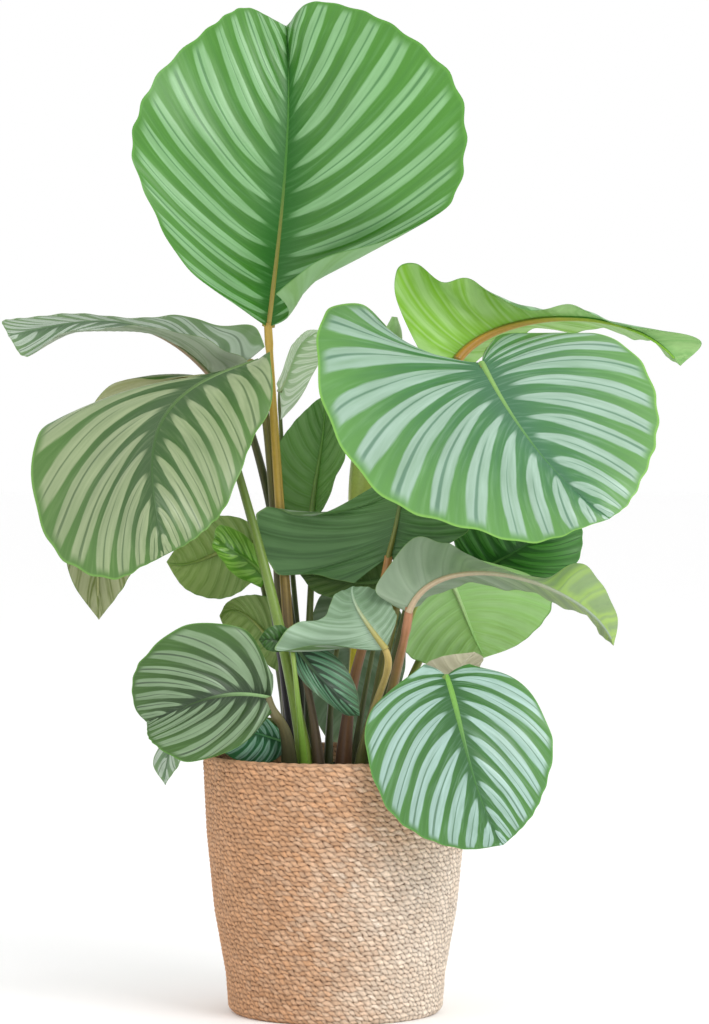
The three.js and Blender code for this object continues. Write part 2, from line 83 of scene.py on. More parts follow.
# Stalks and ribs. SUNK is the share of its radius that a rib lies under the blade's middle, REACH
# says where the upper colour is reached, and the shares on a rib run from base to tip.
FOOT_HEIGHT = 150
STALK_STEPS = 44
STALK_SIDES = 14
STALK_END = 0.02
STALK_REACH = 0.9
KNEE_LENGTH = 24
KNEE_FULL = KNEE_LENGTH * 0.7
KNEE_SWELL = 1.22
SHEATH_TOP = 245
SHEATH_FULL = SHEATH_TOP * 0.75
SHEATH_SWELL = 1.45
RIB_STEPS = 30
RIB_SIDES = 10
RIB_SUNK = 0.55
RIB_END = 0.96
RIB_TAPER = 0.8
RIB_REACH = 0.6

# By leaf size: rows to each stripe, columns to each half and pleats' height, then a stalk's radii at
# foot and top, and a rib's at base and tip
FINE = {"big": (9, 16, 0.75), "mid": (8, 12, 0.5), "small": (8, 9, 0.35)}
STALK_RADII = {"big": (5, 2.6), "mid": (4, 2.0), "small": (2.8, 1.4)}
RIB_RADII = {"big": (4.3, 0.9), "mid": (2.8, 0.6), "small": (1.9, 0.4)}

# The plant is laid out as it is seen from the front: steps across and down in the view, and mm of
# depth behind the basket's axis. One step is VIEW_STEP mm at the axis, seen from VIEW_DISTANCE mm.
VIEW_STEP = 0.78
VIEW_DISTANCE = 3200
VIEW_MIDDLE = (335.5, 512)
VIEW_HEIGHT = 390
VIEW_DROP = 0.025

# The photograph's frame and the camera that sees it; its focal length is in the photo's steps
IMAGE_WIDTH = 709
IMAGE_HEIGHT = 1024
SENSOR_WIDTH = 36
CAMERA_HEIGHT = 470
CAMERA_FOCUS = 4103

# How much light falls on the plant, where 1 shows a white sheet as white, then in metres the lamps'
# aim, place and width, with their power in watts, and how far the floor reaches
DAYLIGHT = 1.22
LAMP_AIM = Vector((0, 0, 0.4))
LAMPS = {"window": ((1.8, -2.0, 2.2), 1.6, 45), "fill": ((-2.0, -1.8, 1.4), 1.8, 8)}
FLOOR_REACH = 20

# Colours of a blade's upper side: silver stripe, green band, deep green by the rib, margin, rib
SKINS = {
    "fresh": ("#88ba80", "#3b7d18", "#2f6f2e", "#5a9c34", "#a5943f"),
    "bluish": ("#a8c6b3", "#49844a", "#3f7454", "#86c052", "#8ab661"),
    "khaki": ("#9aaa7e", "#3a6024", "#335622", "#6fa044", "#5f7f42"),
    "sage": ("#b8c9b6", "#64855c", "#456440", "#7fa45c", "#8b9462"),
    "pale": ("#f4fff0", "#c8e0bc", "#98c080", "#bdd3aa", "#bccf9e"),
    "slate": ("#839e78", "#25460f", "#132c10", "#568a2c", "#8ab074"),
    "teal": ("#9dcfb6", "#33784a", "#1d522c", "#4f9a60", "#6fb070"),
    "deep": ("#649a74", "#24462a", "#101c0e", "#7f9f78", "#5f7f52"),
    "bottle": ("#468a30", "#206212", "#0f4c04", "#559a38", "#4a7d30"),
    "dusky": ("#3a6a26", "#26500e", "#1c4006", "#447a28", "#3a641e"),
    "grass": ("#86b64e", "#4e8616", "#3c700c", "#7cb043", "#6f9a3e"),
    "silvery": ("#accdc2", "#3d7632", "#2a602e", "#62a042", "#82bb52"),
}

# Colours of an underside: blade by the base and far along, fine veins, rib
# lime, soft_lime, bright_lime and mint are painted lighter than the underside's own colour, as painted
# light for the daylight that shines through the thin blades.
UNDERS = {
    "lime": ("#86c030", "#94c878", "#b6de94", "#b8862c"),
    "soft_lime": ("#8dbb71", "#8dbb71", "#a5cc9b", "#a9c77f"),
    "bright_lime": ("#b2e88c", "#acde7e", "#c2eca6", "#d4eeb0"),
    "olive": ("#9fae68", "#9fae68", "#bac694", "#a8965c"),
    "khaki": ("#b2b87e", "#7d8c46", "#d2d6ae", "#b09c64"),
    "haze": ("#8fa582", "#a9b9a0", "#c0cbb6", "#b09678"),
    "moss": ("#668a32", "#76963e", "#96ae64", "#8f984c"),
    "fern": ("#42681c", "#42681c", "#6c8c46", "#68904a"),
    "sap": ("#649a40", "#5c8e44", "#86b26c", "#7f9f54"),
    "mint": ("#a4c0a4", "#86a584", "#5f8059", "#b3a95c"),
    "bluish": ("#426c38", "#4c7a36", "#6a985c", "#84863c"),
    "grey": ("#9aae92", "#a5c766", "#7d9476", "#c4ad8c"),
    "parchment": ("#c6c2a8", "#bdb99c", "#a5a286", "#b3a67d"),
}

# Each leaf: rib from base to tip, margins of the left and right half (upper side seen, tip up) from
# the base lobe to the tip, two spots on the stalk from the blade down, and the foot's x and y in mm.
# wave is the height of the margin's waves and their count, arch lifts the veins' middles, crowding
# brings their starts nearer the base, and rib_radii are the rib's at base and tip.
# Then its looks: upper and lower colours, stripes to each half, how far they sweep to the tip, the
# share of them that is silver, and the stalk's lower and upper colour with the reach to the latter.
LEAVES = {
    "top": dict(
        size="big", wave=(4, 4), stalk=((275, 440, 46), (286, 600, 28)), foot=(-27, 8),
        rib=((267, 327, 50), (279, 238, 30), (288, 128, 18), (286, 27, 45)),
        left=((245, 311, 22), (190, 270, -4), (150, 205, -16), (133, 145, -18), (152, 84, -6),
              (210, 28, 15), (250, 9, 35)),
        right=((276, 294, 4), (316, 261, -26), (394, 238, -40), (452, 200, -40), (467, 140, -36),
               (447, 72, -22), (385, 22, 5), (318, 2, 30)),
        arch=dict(left=0.06, right=(-0.26, 0.1, 0.06)),
        skin="fresh", under="soft_lime", stripes=15, sweep=0.13, silver=0.57, rib_radii=(5.4, 1.5),
        stem=("#352a30", "#c0a044"), reach=0.65,
    ),
    "right_big": dict(
        size="big", wave=(3, 3), stalk=((448, 470, 28), (408, 610, 10)), foot=(21, 8),
        rib=((482, 362, 5), (518, 424, -50), (562, 478, -85), (610, 519, -100)),
        left=((486, 348, 45), (504, 335, 55), (560, 330, 52), (600, 336, 40), (640, 362, 10),
              (658, 402, -22), (655, 448, -60), (641, 484, -84), (626, 506, -95)),
        right=((389, 330, 44), (362, 303, 42), (328, 308, 36), (317, 345, 20), (322, 400, -10),
               (345, 450, -40), (384, 496, -65), (430, 520, -82), (478, 532, -95), (523, 541, -102),
               (560, 536, -106), (588, 527, -104)),
        arch=dict(left=(-0.02, 0.05, 0.1), right=(-0.22, 0.06, 0.1)), crowding=3, sweep=0.06,
        skin="bluish", under="lime", stripes=13, silver=0.62, rib_radii=(3, 0.6),
        stem=("#4f5a2c", "#8c9a4c"),
    ),
    "left_big": dict(
        size="big", wave=(3, 3), stalk=((268, 440, 56), (280, 600, 42)), foot=(-30, 20),
        rib=((258, 360, 38), (172, 406, -15), (152, 472, -75), (164, 556, -95)),
        left=((270, 352, 28), (272, 400, 10), (254, 437, -15), (242, 468, -38), (226, 507, -62),
              (206, 530, -80), (187, 544, -90)),
        right=((222, 392, 66), (135, 420, 52), (62, 421, 20), (34, 450, -10), (35, 508, -45),
               (58, 554, -75), (88, 574, -90), (118, 577, -96), (145, 566, -97)),
        skin="khaki", under="olive", stripes=10, sweep=0.14, silver=0.75, rib_radii=(2.6, 1),
        stem=("#4d4a2a", "#7f7b3e"),
    ),
    "far_left": dict(
        size="big", wave=(2, 4), stalk=((246, 500, 14), (280, 630, -18)), foot=(-16, -12),
        rib=((216, 380, 84), (150, 330, 80), (80, 322, 75), (8, 336, 66)),
        left=((250, 362, 62), (232, 352, 50), (205, 342, 40), (165, 327, 38), (115, 329, 40),
              (72, 330, 42), (28, 356, 50)),
        right=((264, 347, 130), (256, 328, 138), (228, 325, 138), (190, 319, 130), (140, 316, 122),
               (70, 316, 108), (6, 318, 88)),
        arch=dict(left=-0.1, right=-0.1),
        skin="sage", under="haze", stripes=12, sweep=0.4, rib_radii=(2.6, 0.8),
        stem=("#8cac46", "#586c32"),
    ),
    "left_back": dict(
        size="big", wave=(3, 3), stalk=((264, 480, 90), (288, 610, 70)), foot=(-18, 42),
        rib=((240, 392, 110), (165, 385, 132), (112, 460, 132), (98, 620, 105)),
        left=((236, 378, 104), (180, 375, 110), (125, 381, 112), (84, 420, 112), (68, 490, 112),
              (68, 575, 100)),
        right=((245, 410, 120), (215, 430, 135), (185, 470, 142), (165, 510, 142), (143, 545, 132),
               (124, 585, 118)),
        skin="khaki", under="khaki", stripes=12, stem=("#2f3a1c", "#5a5a34"),
    ),
    "left_mid": dict(
        size="mid", wave=(2, 2), stalk=((266, 600, 72), (282, 690, 64)), foot=(-33, 46),
        rib=((255, 545, 46), (225, 550, 58), (195, 562, 64), (166, 562, 62)),
        left=((252, 524, 48), (232, 516, 55), (208, 518, 60), (184, 536, 64)),
        right=((260, 574, 48), (240, 592, 55), (214, 599, 60), (184, 588, 64)),
        skin="bottle", under="moss", stripes=10, stem=("#3f4a20", "#66702f"),
    ),
    "left_curl": dict(
        size="small", wave=(1, 2), stalk=((280, 660, 8), (287, 710, 2)), foot=(-24, -4),
        rib=((267, 580, 30), (250, 562, 18), (232, 550, 12), (214, 538, 16)),
        left=((262, 588, 22), (240, 578, 6), (224, 564, 0), (213, 548, 6)),
        right=((264, 560, 26), (250, 540, 14), (232, 528, 6), (218, 526, 8)),
        arch=dict(left=-0.15, right=-0.15),
        skin="grass", under="moss", stripes=6, stem=("#2a2430", "#3c3440"),
    ),
    "left_low_back": dict(
        size="small", wave=(2, 2), stalk=((283, 690, 42), (285, 735, 37)), foot=(-39, 33),
        rib=((278, 650, 42), (260, 628, 52), (240, 612, 58), (219, 616, 56)),
        left=((275, 602, 45), (260, 595, 52), (242, 596, 56), (226, 603, 58)),
        right=((277, 672, 40), (262, 660, 48), (244, 644, 54), (226, 630, 57)),
        skin="bottle", under="moss", stripes=9, stem=("#37421e", "#58652f"),
    ),
    "left_low": dict(
        size="big", wave=(1.5, 3), stalk=((279, 720, -56), (288, 745, -48)), foot=(-36, -38),
        rib=((271, 698, -60), (228, 695, -84), (190, 705, -90), (147, 723, -78)),
        left=((273, 712, -62), (238, 748, -78), (192, 762, -86), (162, 751, -86), (150, 740, -82),
              (147, 731, -79)),
        right=((273, 675, -62), (246, 630, -75), (185, 626, -85), (146, 655, -85), (133, 680, -80),
               (134, 706, -76)),
        crowding=1.5, skin="slate", under="olive", stripes=9, sweep=0.16, rib_radii=(2.6, 0.6),
        stem=("#3a3c1e", "#77704a"),
    ),
    "left_rim": dict(
        size="small", wave=(1, 2), stalk=((290, 752, -31), (294, 768, -27)), foot=(-29, -27),
        rib=((284, 742, -35), (262, 735, -48), (242, 732, -54), (216, 738, -56)),
        left=((283, 754, -32), (266, 764, -38), (244, 763, -42), (222, 751, -50)),
        right=((280, 730, -38), (262, 715, -50), (240, 712, -56), (222, 720, -58)),
        skin="teal", under="moss", stripes=9, stem=("#39401d", "#59702f"),
    ),
    "left_hang": dict(
        size="small", wave=(2, 2), stalk=((274, 722, 0), (288, 745, 5)), foot=(-37, -10),
        rib=((262, 722, -5), (215, 712, 0), (180, 730, 0), (165, 786, -5)),
        left=((258, 728, -18), (228, 722, -26), (200, 735, -28), (181, 758, -20)),
        right=((258, 716, 12), (222, 702, 22), (185, 712, 25), (153, 755, 15)),
        skin="sage", under="mint", stripes=9, stem=("#3f4424", "#6d7a44"),
    ),
    "small_dark": dict(
        size="small", wave=(0.5, 2), stalk=((296, 680, -54), (301, 730, -46)), foot=(-20, -28),
        rib=((292, 640, -40), (281, 641, -44), (270, 640, -46), (259, 640, -44)),
        left=((291, 647, -41), (280, 652, -46), (267, 650, -47)),
        right=((290, 630, -41), (280, 625, -44), (267, 629, -46)),
        skin="dusky", under="moss", stripes=7, stem=("#7aa63a", "#8aa84a"),
    ),
    "mid_dark": dict(
        size="mid", wave=(1, 2), stalk=((308, 690, -26), (316, 740, -22)), foot=(-8, -24),
        rib=((293, 642, -27), (308, 664, -38), (330, 688, -44), (360, 716, -41)),
        left=((302, 636, -24), (322, 646, -32), (343, 664, -38), (358, 692, -38)),
        right=((289, 652, -29), (300, 678, -40), (322, 698, -46), (342, 714, -40)),
        crowding=2, skin="deep", under="fern", stripes=8, sweep=0.22, stem=("#4a3a2a", "#7a6a4c"),
    ),
    "mid_pale": dict(
        size="mid", wave=(1.5, 3), stalk=((385, 680, -45), (368, 730, -30)), foot=(17, -18),
        rib=((386, 650, -55), (370, 628, -50), (356, 605, -42), (353, 586, -30)),
        left=((390, 640, -52), (397, 618, -45), (392, 606, -38), (378, 590, -30)),
        right=((355, 648, -58), (318, 645, -58), (276, 650, -52), (295, 624, -48), (324, 617, -42),
               (336, 594, -34)),
        skin="sage", under="mint", stripes=10, stem=("#4c5527", "#c9b268"),
    ),
    "mid_wide": dict(
        size="big", wave=(2, 4), stalk=((372, 620, 10), (352, 690, 5)), foot=(5, 2),
        rib=((388, 558, 14), (396, 525, 9), (401, 495, 9), (404, 468, 10)),
        left=((398, 562, 12), (414, 550, 4), (445, 545, 0), (470, 528, -4), (468, 500, -2),
              (440, 478, 5)),
        right=((354, 583, 14), (315, 575, 20), (276, 572, 26), (256, 532, 28), (266, 507, 28),
               (318, 515, 16)),
        skin="sage", under="bluish", stripes=11, rib_radii=(2.4, 0.8), stem=("#6b4a30", "#c08a52"),
    ),
    "mid_low": dict(
        size="small", wave=(1, 2), stalk=((375, 640, 30), (360, 720, 25)), foot=(11, 18),
        rib=((385, 580, 34), (360, 583, 36), (335, 580, 38), (300, 575, 38)),
        left=((385, 560, 34), (355, 555, 36), (320, 560, 38)),
        right=((385, 598, 32), (355, 600, 34), (318, 594, 36)),
        skin="bottle", under="fern", stripes=8, stem=("#4a5226", "#6b7a34"),
    ),
    "right_top": dict(
        size="big", wave=(3, 4), stalk=((425, 480, 68), (388, 640, 55)), foot=(18, 34),
        rib=((455, 359, 60), (520, 322, 70), (610, 322, 65), (680, 366, 50)),
        left=((470, 366, 95), (505, 345, 120), (545, 330, 130), (590, 331, 125), (632, 336, 105),
              (660, 350, 76)),
        right=((421, 354, 45), (395, 300, 28), (397, 272, 22), (416, 264, 18), (440, 280, 24),
               (466, 279, 26), (492, 296, 35), (530, 307, 46), (566, 306, 52), (602, 322, 50),
               (660, 328, 46), (700, 342, 38)),
        skin="fresh", under="lime", stripes=12, stem=("#6b7433", "#a9873d"),
    ),
    "slim_back": dict(
        size="small", wave=(1, 2), stalk=((284, 480, 92), (298, 640, 80)), foot=(-18, 54),
        rib=((279, 392, 74), (290, 366, 80), (300, 345, 84), (322, 330, 86)),
        left=((276, 384, 74), (285, 362, 76), (293, 342, 80), (306, 331, 84)),
        right=((280, 420, 79), (292, 408, 90), (308, 382, 96), (320, 360, 94)),
        skin="pale", under="olive", stripes=9, sweep=0.45, stem=("#3c4a22", "#6a7a3c"),
    ),
    "mid_back": dict(
        size="mid", wave=(1.5, 3), stalk=((310, 600, 55), (308, 700, 42)), foot=(-14, 24),
        rib=((312, 520, 68), (316, 480, 76), (322, 440, 80), (324, 396, 78)),
        left=((323, 508, 62), (336, 478, 57), (344, 455, 57), (341, 432, 62), (334, 410, 70)),
        right=((285, 515, 72), (271, 492, 72), (272, 455, 72), (291, 426, 72), (310, 405, 75)),
        skin="bottle", under="sap", stripes=10, stem=("#3c4a22", "#6a7a34"),
    ),
    "right_dark": dict(
        size="mid", wave=(1.5, 2), stalk=((440, 620, 112), (402, 700, 80)), foot=(24, 46),
        rib=((470, 575, 108), (505, 557, 104), (535, 538, 102), (568, 508, 104)),
        left=((455, 550, 105), (452, 520, 100), (480, 500, 98), (525, 495, 100)),
        right=((498, 583, 108), (540, 583, 104), (575, 565, 102), (582, 530, 104)),
        skin="bottle", under="moss", stripes=10, stem=("#6a7a2c", "#a8aa50"),
    ),
    "right_long": dict(
        size="big", wave=(2, 4), stalk=((402, 650, -38), (388, 710, -24)), foot=(25, -8),
        rib=((408, 612, -45), (470, 573, -40), (560, 593, -25), (614, 646, -15)),
        left=((420, 606, 0), (440, 592, 25), (470, 585, 40), (505, 588, 45), (540, 598, 42),
              (575, 610, 30), (598, 630, 8)),
        right=((394, 606, -40), (376, 590, -42), (392, 562, -38), (414, 537, -30), (438, 543, -26),
               (456, 546, -22), (484, 561, -16), (510, 574, -12), (546, 577, -8), (578, 562, -2),
               (600, 584, 0), (618, 618, -8)),
        skin="sage", under="grey", stripes=12, rib_radii=(2.8, 0.8), stem=("#66742f", "#b07a55"),
    ),
    "right_light": dict(
        size="mid", wave=(1.5, 2), stalk=((415, 605, 66), (396, 670, 48)), foot=(28, 22),
        rib=((440, 560, 80), (458, 598, 90), (470, 628, 90), (484, 658, 80)),
        left=((425, 575, 78), (408, 610, 80), (404, 650, 82), (435, 665, 82)),
        right=((480, 560, 82), (530, 575, 85), (552, 604, 85), (525, 640, 82)),
        skin="fresh", under="bright_lime", stripes=10, stem=("#7a8438", "#b4c060"),
    ),
    "front_back": dict(
        size="small", wave=(1, 2), stalk=((436, 733, -52), (410, 757, -42)), foot=(42, -34),
        rib=((452, 700, -60), (455, 685, -62), (460, 670, -62), (475, 652, -60)),
        left=((465, 695, -58), (474, 680, -60), (480, 668, -60), (484, 658, -60)),
        right=((432, 695, -58), (424, 680, -60), (425, 665, -60), (445, 656, -60)),
        skin="sage", under="parchment", stripes=7, stem=("#4a4a26", "#7c8440"),
    ),
    "front_low": dict(
        size="big", wave=(1.5, 3), stalk=((420, 700, -70), (395, 740, -45)), foot=(28, -24),
        rib=((447, 676, -88), (461, 725, -122), (478, 788, -134), (504, 846, -130)),
        left=((470, 664, -82), (525, 685, -98), (552, 735, -113), (550, 776, -122), (538, 808, -127),
              (520, 832, -129)),
        right=((425, 664, -84), (373, 708, -100), (368, 755, -112), (386, 806, -122), (420, 836, -128),
               (463, 850, -130)),
        crowding=1.7, skin="silvery", under="olive", stripes=10, sweep=0.15, rib_radii=(3.4, 0.7),
        stem=("#3f4a22", "#7c9a48"),
    ),
    "back_low": dict(
        size="small", wave=(1.5, 2), stalk=((338, 640, 84), (330, 710, 74)), foot=(-6, 58),
        rib=((350, 590, 88), (350, 640, 102), (348, 695, 114), (345, 756, 119)),
        left=((335, 585, 84), (315, 605, 92), (308, 660, 104), (318, 725, 114)),
        right=((370, 585, 84), (400, 612, 92), (404, 670, 106), (382, 730, 115)),
        skin="sage", under="mint", stripes=9, stem=("#4a5228", "#7a8444"),
    ),
}

# The youngest leaf is still rolled up round its rib: its coil's turns, the share of its radius that
# they take up, its first angle and twist in radians, the radius of the rib inside, the mesh's columns
# and steps, then spots from the foot up, and radii there
FURLED = dict(
    foot=(2, 32), turns=2.2, tightness=0.42, start=-1.9, twist=1.2, core=3.4, columns=144, steps=90,
    spots=((350, 700, 50), (358, 600, 68), (362, 520, 75), (366, 460, 76), (380, 395, 76),
           (391, 340, 75), (394, 317, 74)),
    radii=(3.4, 3.2, 5, 12.5, 13.5, 12.5, 9, 2.5),
)

# Basket: its outline as shares of its height and of its largest radius, how far the box round it lies
# outside that, and the wall and floor
BASKET_OUTLINE = ((0, 0.769), (0.02, 0.808), (0.149, 0.827), (0.396, 0.913), (0.693, 0.971), (1, 1))
BOX_MARGIN = 0.6
BASKET_WALL = 5
FLOOR_TOP = 5

# Rows of cord and the strands twisted in each. A strand's slant in its row and its step from row to
# row are in strands, and CORD_SEED gives each cord colours of its own. Depths are shares of the
# relief: the groove between cords at a strand's middle, and the gap between two strands. The rows
# sag by up to CORD_SAG, and the relief is uneven over so many lengths round the basket and in a row.
CORD_ROWS = 52
ROWS_PER_CORD = 4
STRANDS = 98
COLUMNS_PER_STRAND = 4.5
STRAND_SLANT = 0.6
STRAND_STEP = 0.618
CORD_SEED = 171.3
CORD_RELIEF = 1.1
STRAND_RELIEF = 0.9
CORD_ROUNDNESS = 0.6
CORD_SAG = 0.8
SAG_WAVES = 4
GROOVE_DEPTH = 0.45
GAP_DEPTH = 0.35
UNEVENNESS = 0.7
UNEVEN_LENGTHS = (90, 0.9)

# Waves round the basket: half waves in a turn, shift from row to row, and height in rows or strands
ROW_WAVES = ((38, 0.6, 0.12), (74, -2.1, 0.12), (122, 1, 0.1))
STRAND_WAVES = ((14, 1.9, 0.3), (46, 3.7, 0.2))

# Rim, lining and base, the height of their cords, and the base's edge as steps out and up
RIM_HEIGHT = 2.2
RIM_CORE = 0.7
RIM_ROUNDNESS = 0.7
RIM_TWISTS = 74
RIM_COLUMNS = 444
RIM_SIDES = 10
LINING_TOP = 3
LINING_ROWS = 52
LINING_RELIEF = 0.6
BASE_COILS = 20
BASE_RELIEF = 0.4
BASE_EDGE = ((-2, 0), (0, 1.5))
ROUND_SIDES = 96

# Nursery pot: its foot's radius, and its section as steps out and up from that foot or from its lip
POT_FOOT = 70
POT_SIDES = 120
POT_BASE = ((-14, 1.2), (-12, 0), (-2, 0), (0, 2))
POT_LIP = ((-2.8, -10), (-2.2, -9), (-0.6, -8.6), (0, -8), (0, -0.8), (-0.6, 0), (-1.6, 0),
           (-2.2, -0.8), (-3.8, -11))
POT_INSIDE = ((-1.6, 3), (-3, 2))

# Soil: its dome, how far that lies under the highest lump, its foot's radius, its side as steps out
# and up from its edge, columns and rows of the top and sides of the foot, and lumps as count to a mm
# and height, with how much lower they are by the pot's wall
SOIL_DOME = 3
SOIL_DROP = 1.2
SOIL_FOOT = 60
SOIL_SIDE = ((-8, -60), (0, -4.5))
SOIL_MESH = (150, 44, 60)
LUMPS = (0.16, 1.6)
FINE_LUMPS = (0.5, 1.1)
WALL_CALM = 0.5

# Loose crumbs, each turned on by the golden angle: least and further size, shape, and dents as count
# to a metre and depth
CRUMBS = 260
CRUMB_SPREAD = 0.97
CRUMB_SIZE = (0.9, 1.5)
CRUMB_SHAPE = Vector((1.3, 1, 0.7))
CRUMB_DENTS = (900, 0.9)
GOLDEN_ANGLE = 2.39996

# Of each material: roughness, strength of its bumps, and their height in mm
FINISHES = {
    "upper": (0.48, 0.35, 0.6), "lower": (0.62, 0.4, 0.5), "stalk": (0.48, 0.3, 0.4),
    "rib_above": (0.5, 0.2, 0.3), "rib_below": (0.5, 0.3, 0.4), "furled": (0.5, 0.3, 0.4),
    "seagrass": (0.8, 0.5, 0.6), "plastic": (0.55, 0.15, 0.2), "soil": (0.95, 0.9, 1.6),
}
GLOSS = 0.25


# Shared ways to make meshes

def spot(across, down, depth):
    """A point of the plant in the frame, mm, from its steps in the front view and its depth."""
    step = VIEW_STEP * (1 + depth / VIEW_DISTANCE)
    height = VIEW_HEIGHT - VIEW_DROP * depth + (VIEW_MIDDLE[1] - down) * step
    return Vector(((across - VIEW_MIDDLE[0]) * step, depth, height))


def cubic(points):
    """The smooth curve through four points at 0, 1/3, 2/3 and 1."""
    start, near, far, end = points
    first = (-5 * start + 18 * near - 9 * far + 2 * end) / 6
    second = (2 * start - 9 * near + 18 * far - 5 * end) / 6

    def place(t):
        s = 1 - t
        return s ** 3 * start + 3 * s * s * t * first + 3 * s * t * t * second + t ** 3 * end

    return place


def spline(points, share):
    """A point on the even curve through any number of points."""
    last = len(points) - 1
    i = min(int(share * last), last - 1)
    f = share * last - i
    before = points[i - 1] if i > 0 else 2 * points[0] - points[1]
    after = points[i + 2] if i + 2 <= last else 2 * points[last] - points[last - 1]
    weights = (
        -f + 2 * f * f - f ** 3,
        2 - 5 * f * f + 3 * f ** 3,
        f + 4 * f * f - 3 * f ** 3,
        -f * f + f ** 3,
    )
    near = (before, points[i], points[i + 1], after)
    return sum((point * weight / 2 for point, weight in zip(near, weights)), Vector())


def bend3(value, t):
    """A number that may change along a leaf: one value, or those at its base, middle and tip."""
    if not isinstance(value, tuple):
        return value
    first, middle, last = value
    return first * (1 - t) * (1 - 2 * t) + middle * 4 * t * (1 - t) + last * t * (2 * t - 1)


def ease(value, low, high):
    """0 below low and 1 above high, rounded in between."""
    share = max(0.0, min(1.0, (value - low) / (high - low)))
    return share * share * (3 - 2 * share)


def fade_ends(share, steepness):
    """1 in the middle of 0 to 1, and straight down to 0 at both ends."""
    return min(1, steepness * share, steepness * (1 - share))


def outward(angle):
    """The level direction at an angle round the Z axis."""
    return Vector((math.cos(angle), math.sin(angle), 0))


def upward(height):
    return Vector((0, 0, height))


def offset(radius, height, steps):
    """Rows of radius and height, from a first one and steps out and up from it."""
    return [(radius + out, height + up) for out, up in steps]


def start_mesh():
    bm = bmesh.new()
    bm.loops.layers.uv.new("UVMap")
    return bm


def sheet(bm, columns, rows, place, slot=0, chart=None):
    """Adds a grid of faces, each corner put where place(across, along) says, both from 0 to 1.
    chart gives the place in the UV map from the same two, where they don't serve as they are."""
    made = bmesh.ops.create_grid(bm, x_segments=columns, y_segments=rows, size=1, calc_uvs=True)["verts"]
    uv_map = bm.loops.layers.uv.active
    for face in {face for vert in made for face in vert.link_faces}:
        face.smooth = True
        face.material_index = slot(face.calc_center_median().x / 2 + 0.5) if callable(slot) else slot
        if chart:
            for loop in face.loops:
                loop[uv_map].uv = chart(*loop[uv_map].uv)
    for vert in made:
        vert.co = place((vert.co.x + 1) / 2, (vert.co.y + 1) / 2) * MM
    bmesh.ops.remove_doubles(bm, verts=made, dist=MERGE)


def along_path(path):
    """For each point of a path: the point and two directions across it that don't twist."""
    across = Vector((1, 0, 0))
    made = []
    for i, point in enumerate(path):
        ahead = (path[min(i + 1, len(path) - 1)] - path[max(i - 1, 0)]).normalized()
        across = (across - ahead * across.dot(ahead)).normalized()
        made.append((point, across.copy(), ahead.cross(across)))
    return made


def tube(bm, rings, radii, sides, slot):
    """A round body along rings of a point and two directions across, closed at both ends."""
    rings = [rings[0], *rings, rings[-1]]
    radii = [0, *radii, 0]

    def place(across, along):
        i = round(along * (len(rings) - 1))
        point, first, second = rings[i]
        angle = math.tau * across
        return point + (first * math.cos(angle) + second * math.sin(angle)) * radii[i]

    sheet(bm, sides, len(rings) - 1, place, slot)


def turned(bm, profile, columns):
    """A body turned round the Z axis from rows of radius and height."""
    def place(across, along):
        radius, height = profile[round(along * (len(profile) - 1))]
        return outward(math.tau * across) * radius + upward(height)

    sheet(bm, columns, len(profile) - 1, place)


def add_object(name, data):
    made = bpy.data.objects.new(name, data)
    bpy.context.scene.collection.objects.link(made)
    return made


def finish_piece(bm, name, materials, slot, *nodes):
    """Makes the object, lets it ride on the one body and stand for its CAD nodes."""
    for edge in bm.edges:
        edge.smooth = edge.calc_face_angle(0) < CREASE
    mesh = bpy.data.meshes.new(name)
    bm.to_mesh(mesh)
    bm.free()
    for material in materials:
        mesh.materials.append(material)
    piece = add_object(name, mesh)
    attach(piece, "root")
    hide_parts(*nodes)
    return piece


# Shared ways to make materials

def paint(code):
    """The linear colour that looks like a screen colour code under the scene's light."""
    parts = [int(code[i:i + 2], 16) / 255 for i in (1, 3, 5)]
    linear = [c / 12.92 if c < 0.04045 else ((c + 0.055) / 1.055) ** 2.4 for c in parts]
    return (*(c / DAYLIGHT for c in linear), 1)


class Wire:
    """A node's output, for use in plain sums."""

    def __init__(self, graph, socket):
        self.graph = graph
        self.socket = socket

    def __add__(self, other):
        return self.graph.math("ADD", self, other)

    def __sub__(self, other):
        return self.graph.math("SUBTRACT", self, other)

    def __rsub__(self, other):
        return self.graph.math("SUBTRACT", other, self)

    def __mul__(self, other):
        return self.graph.math("MULTIPLY", self, other)

    def __pow__(self, other):
        return self.graph.math("POWER", self, other)

    def __abs__(self):
        return self.graph.math("ABSOLUTE", self)

    __radd__ = __add__


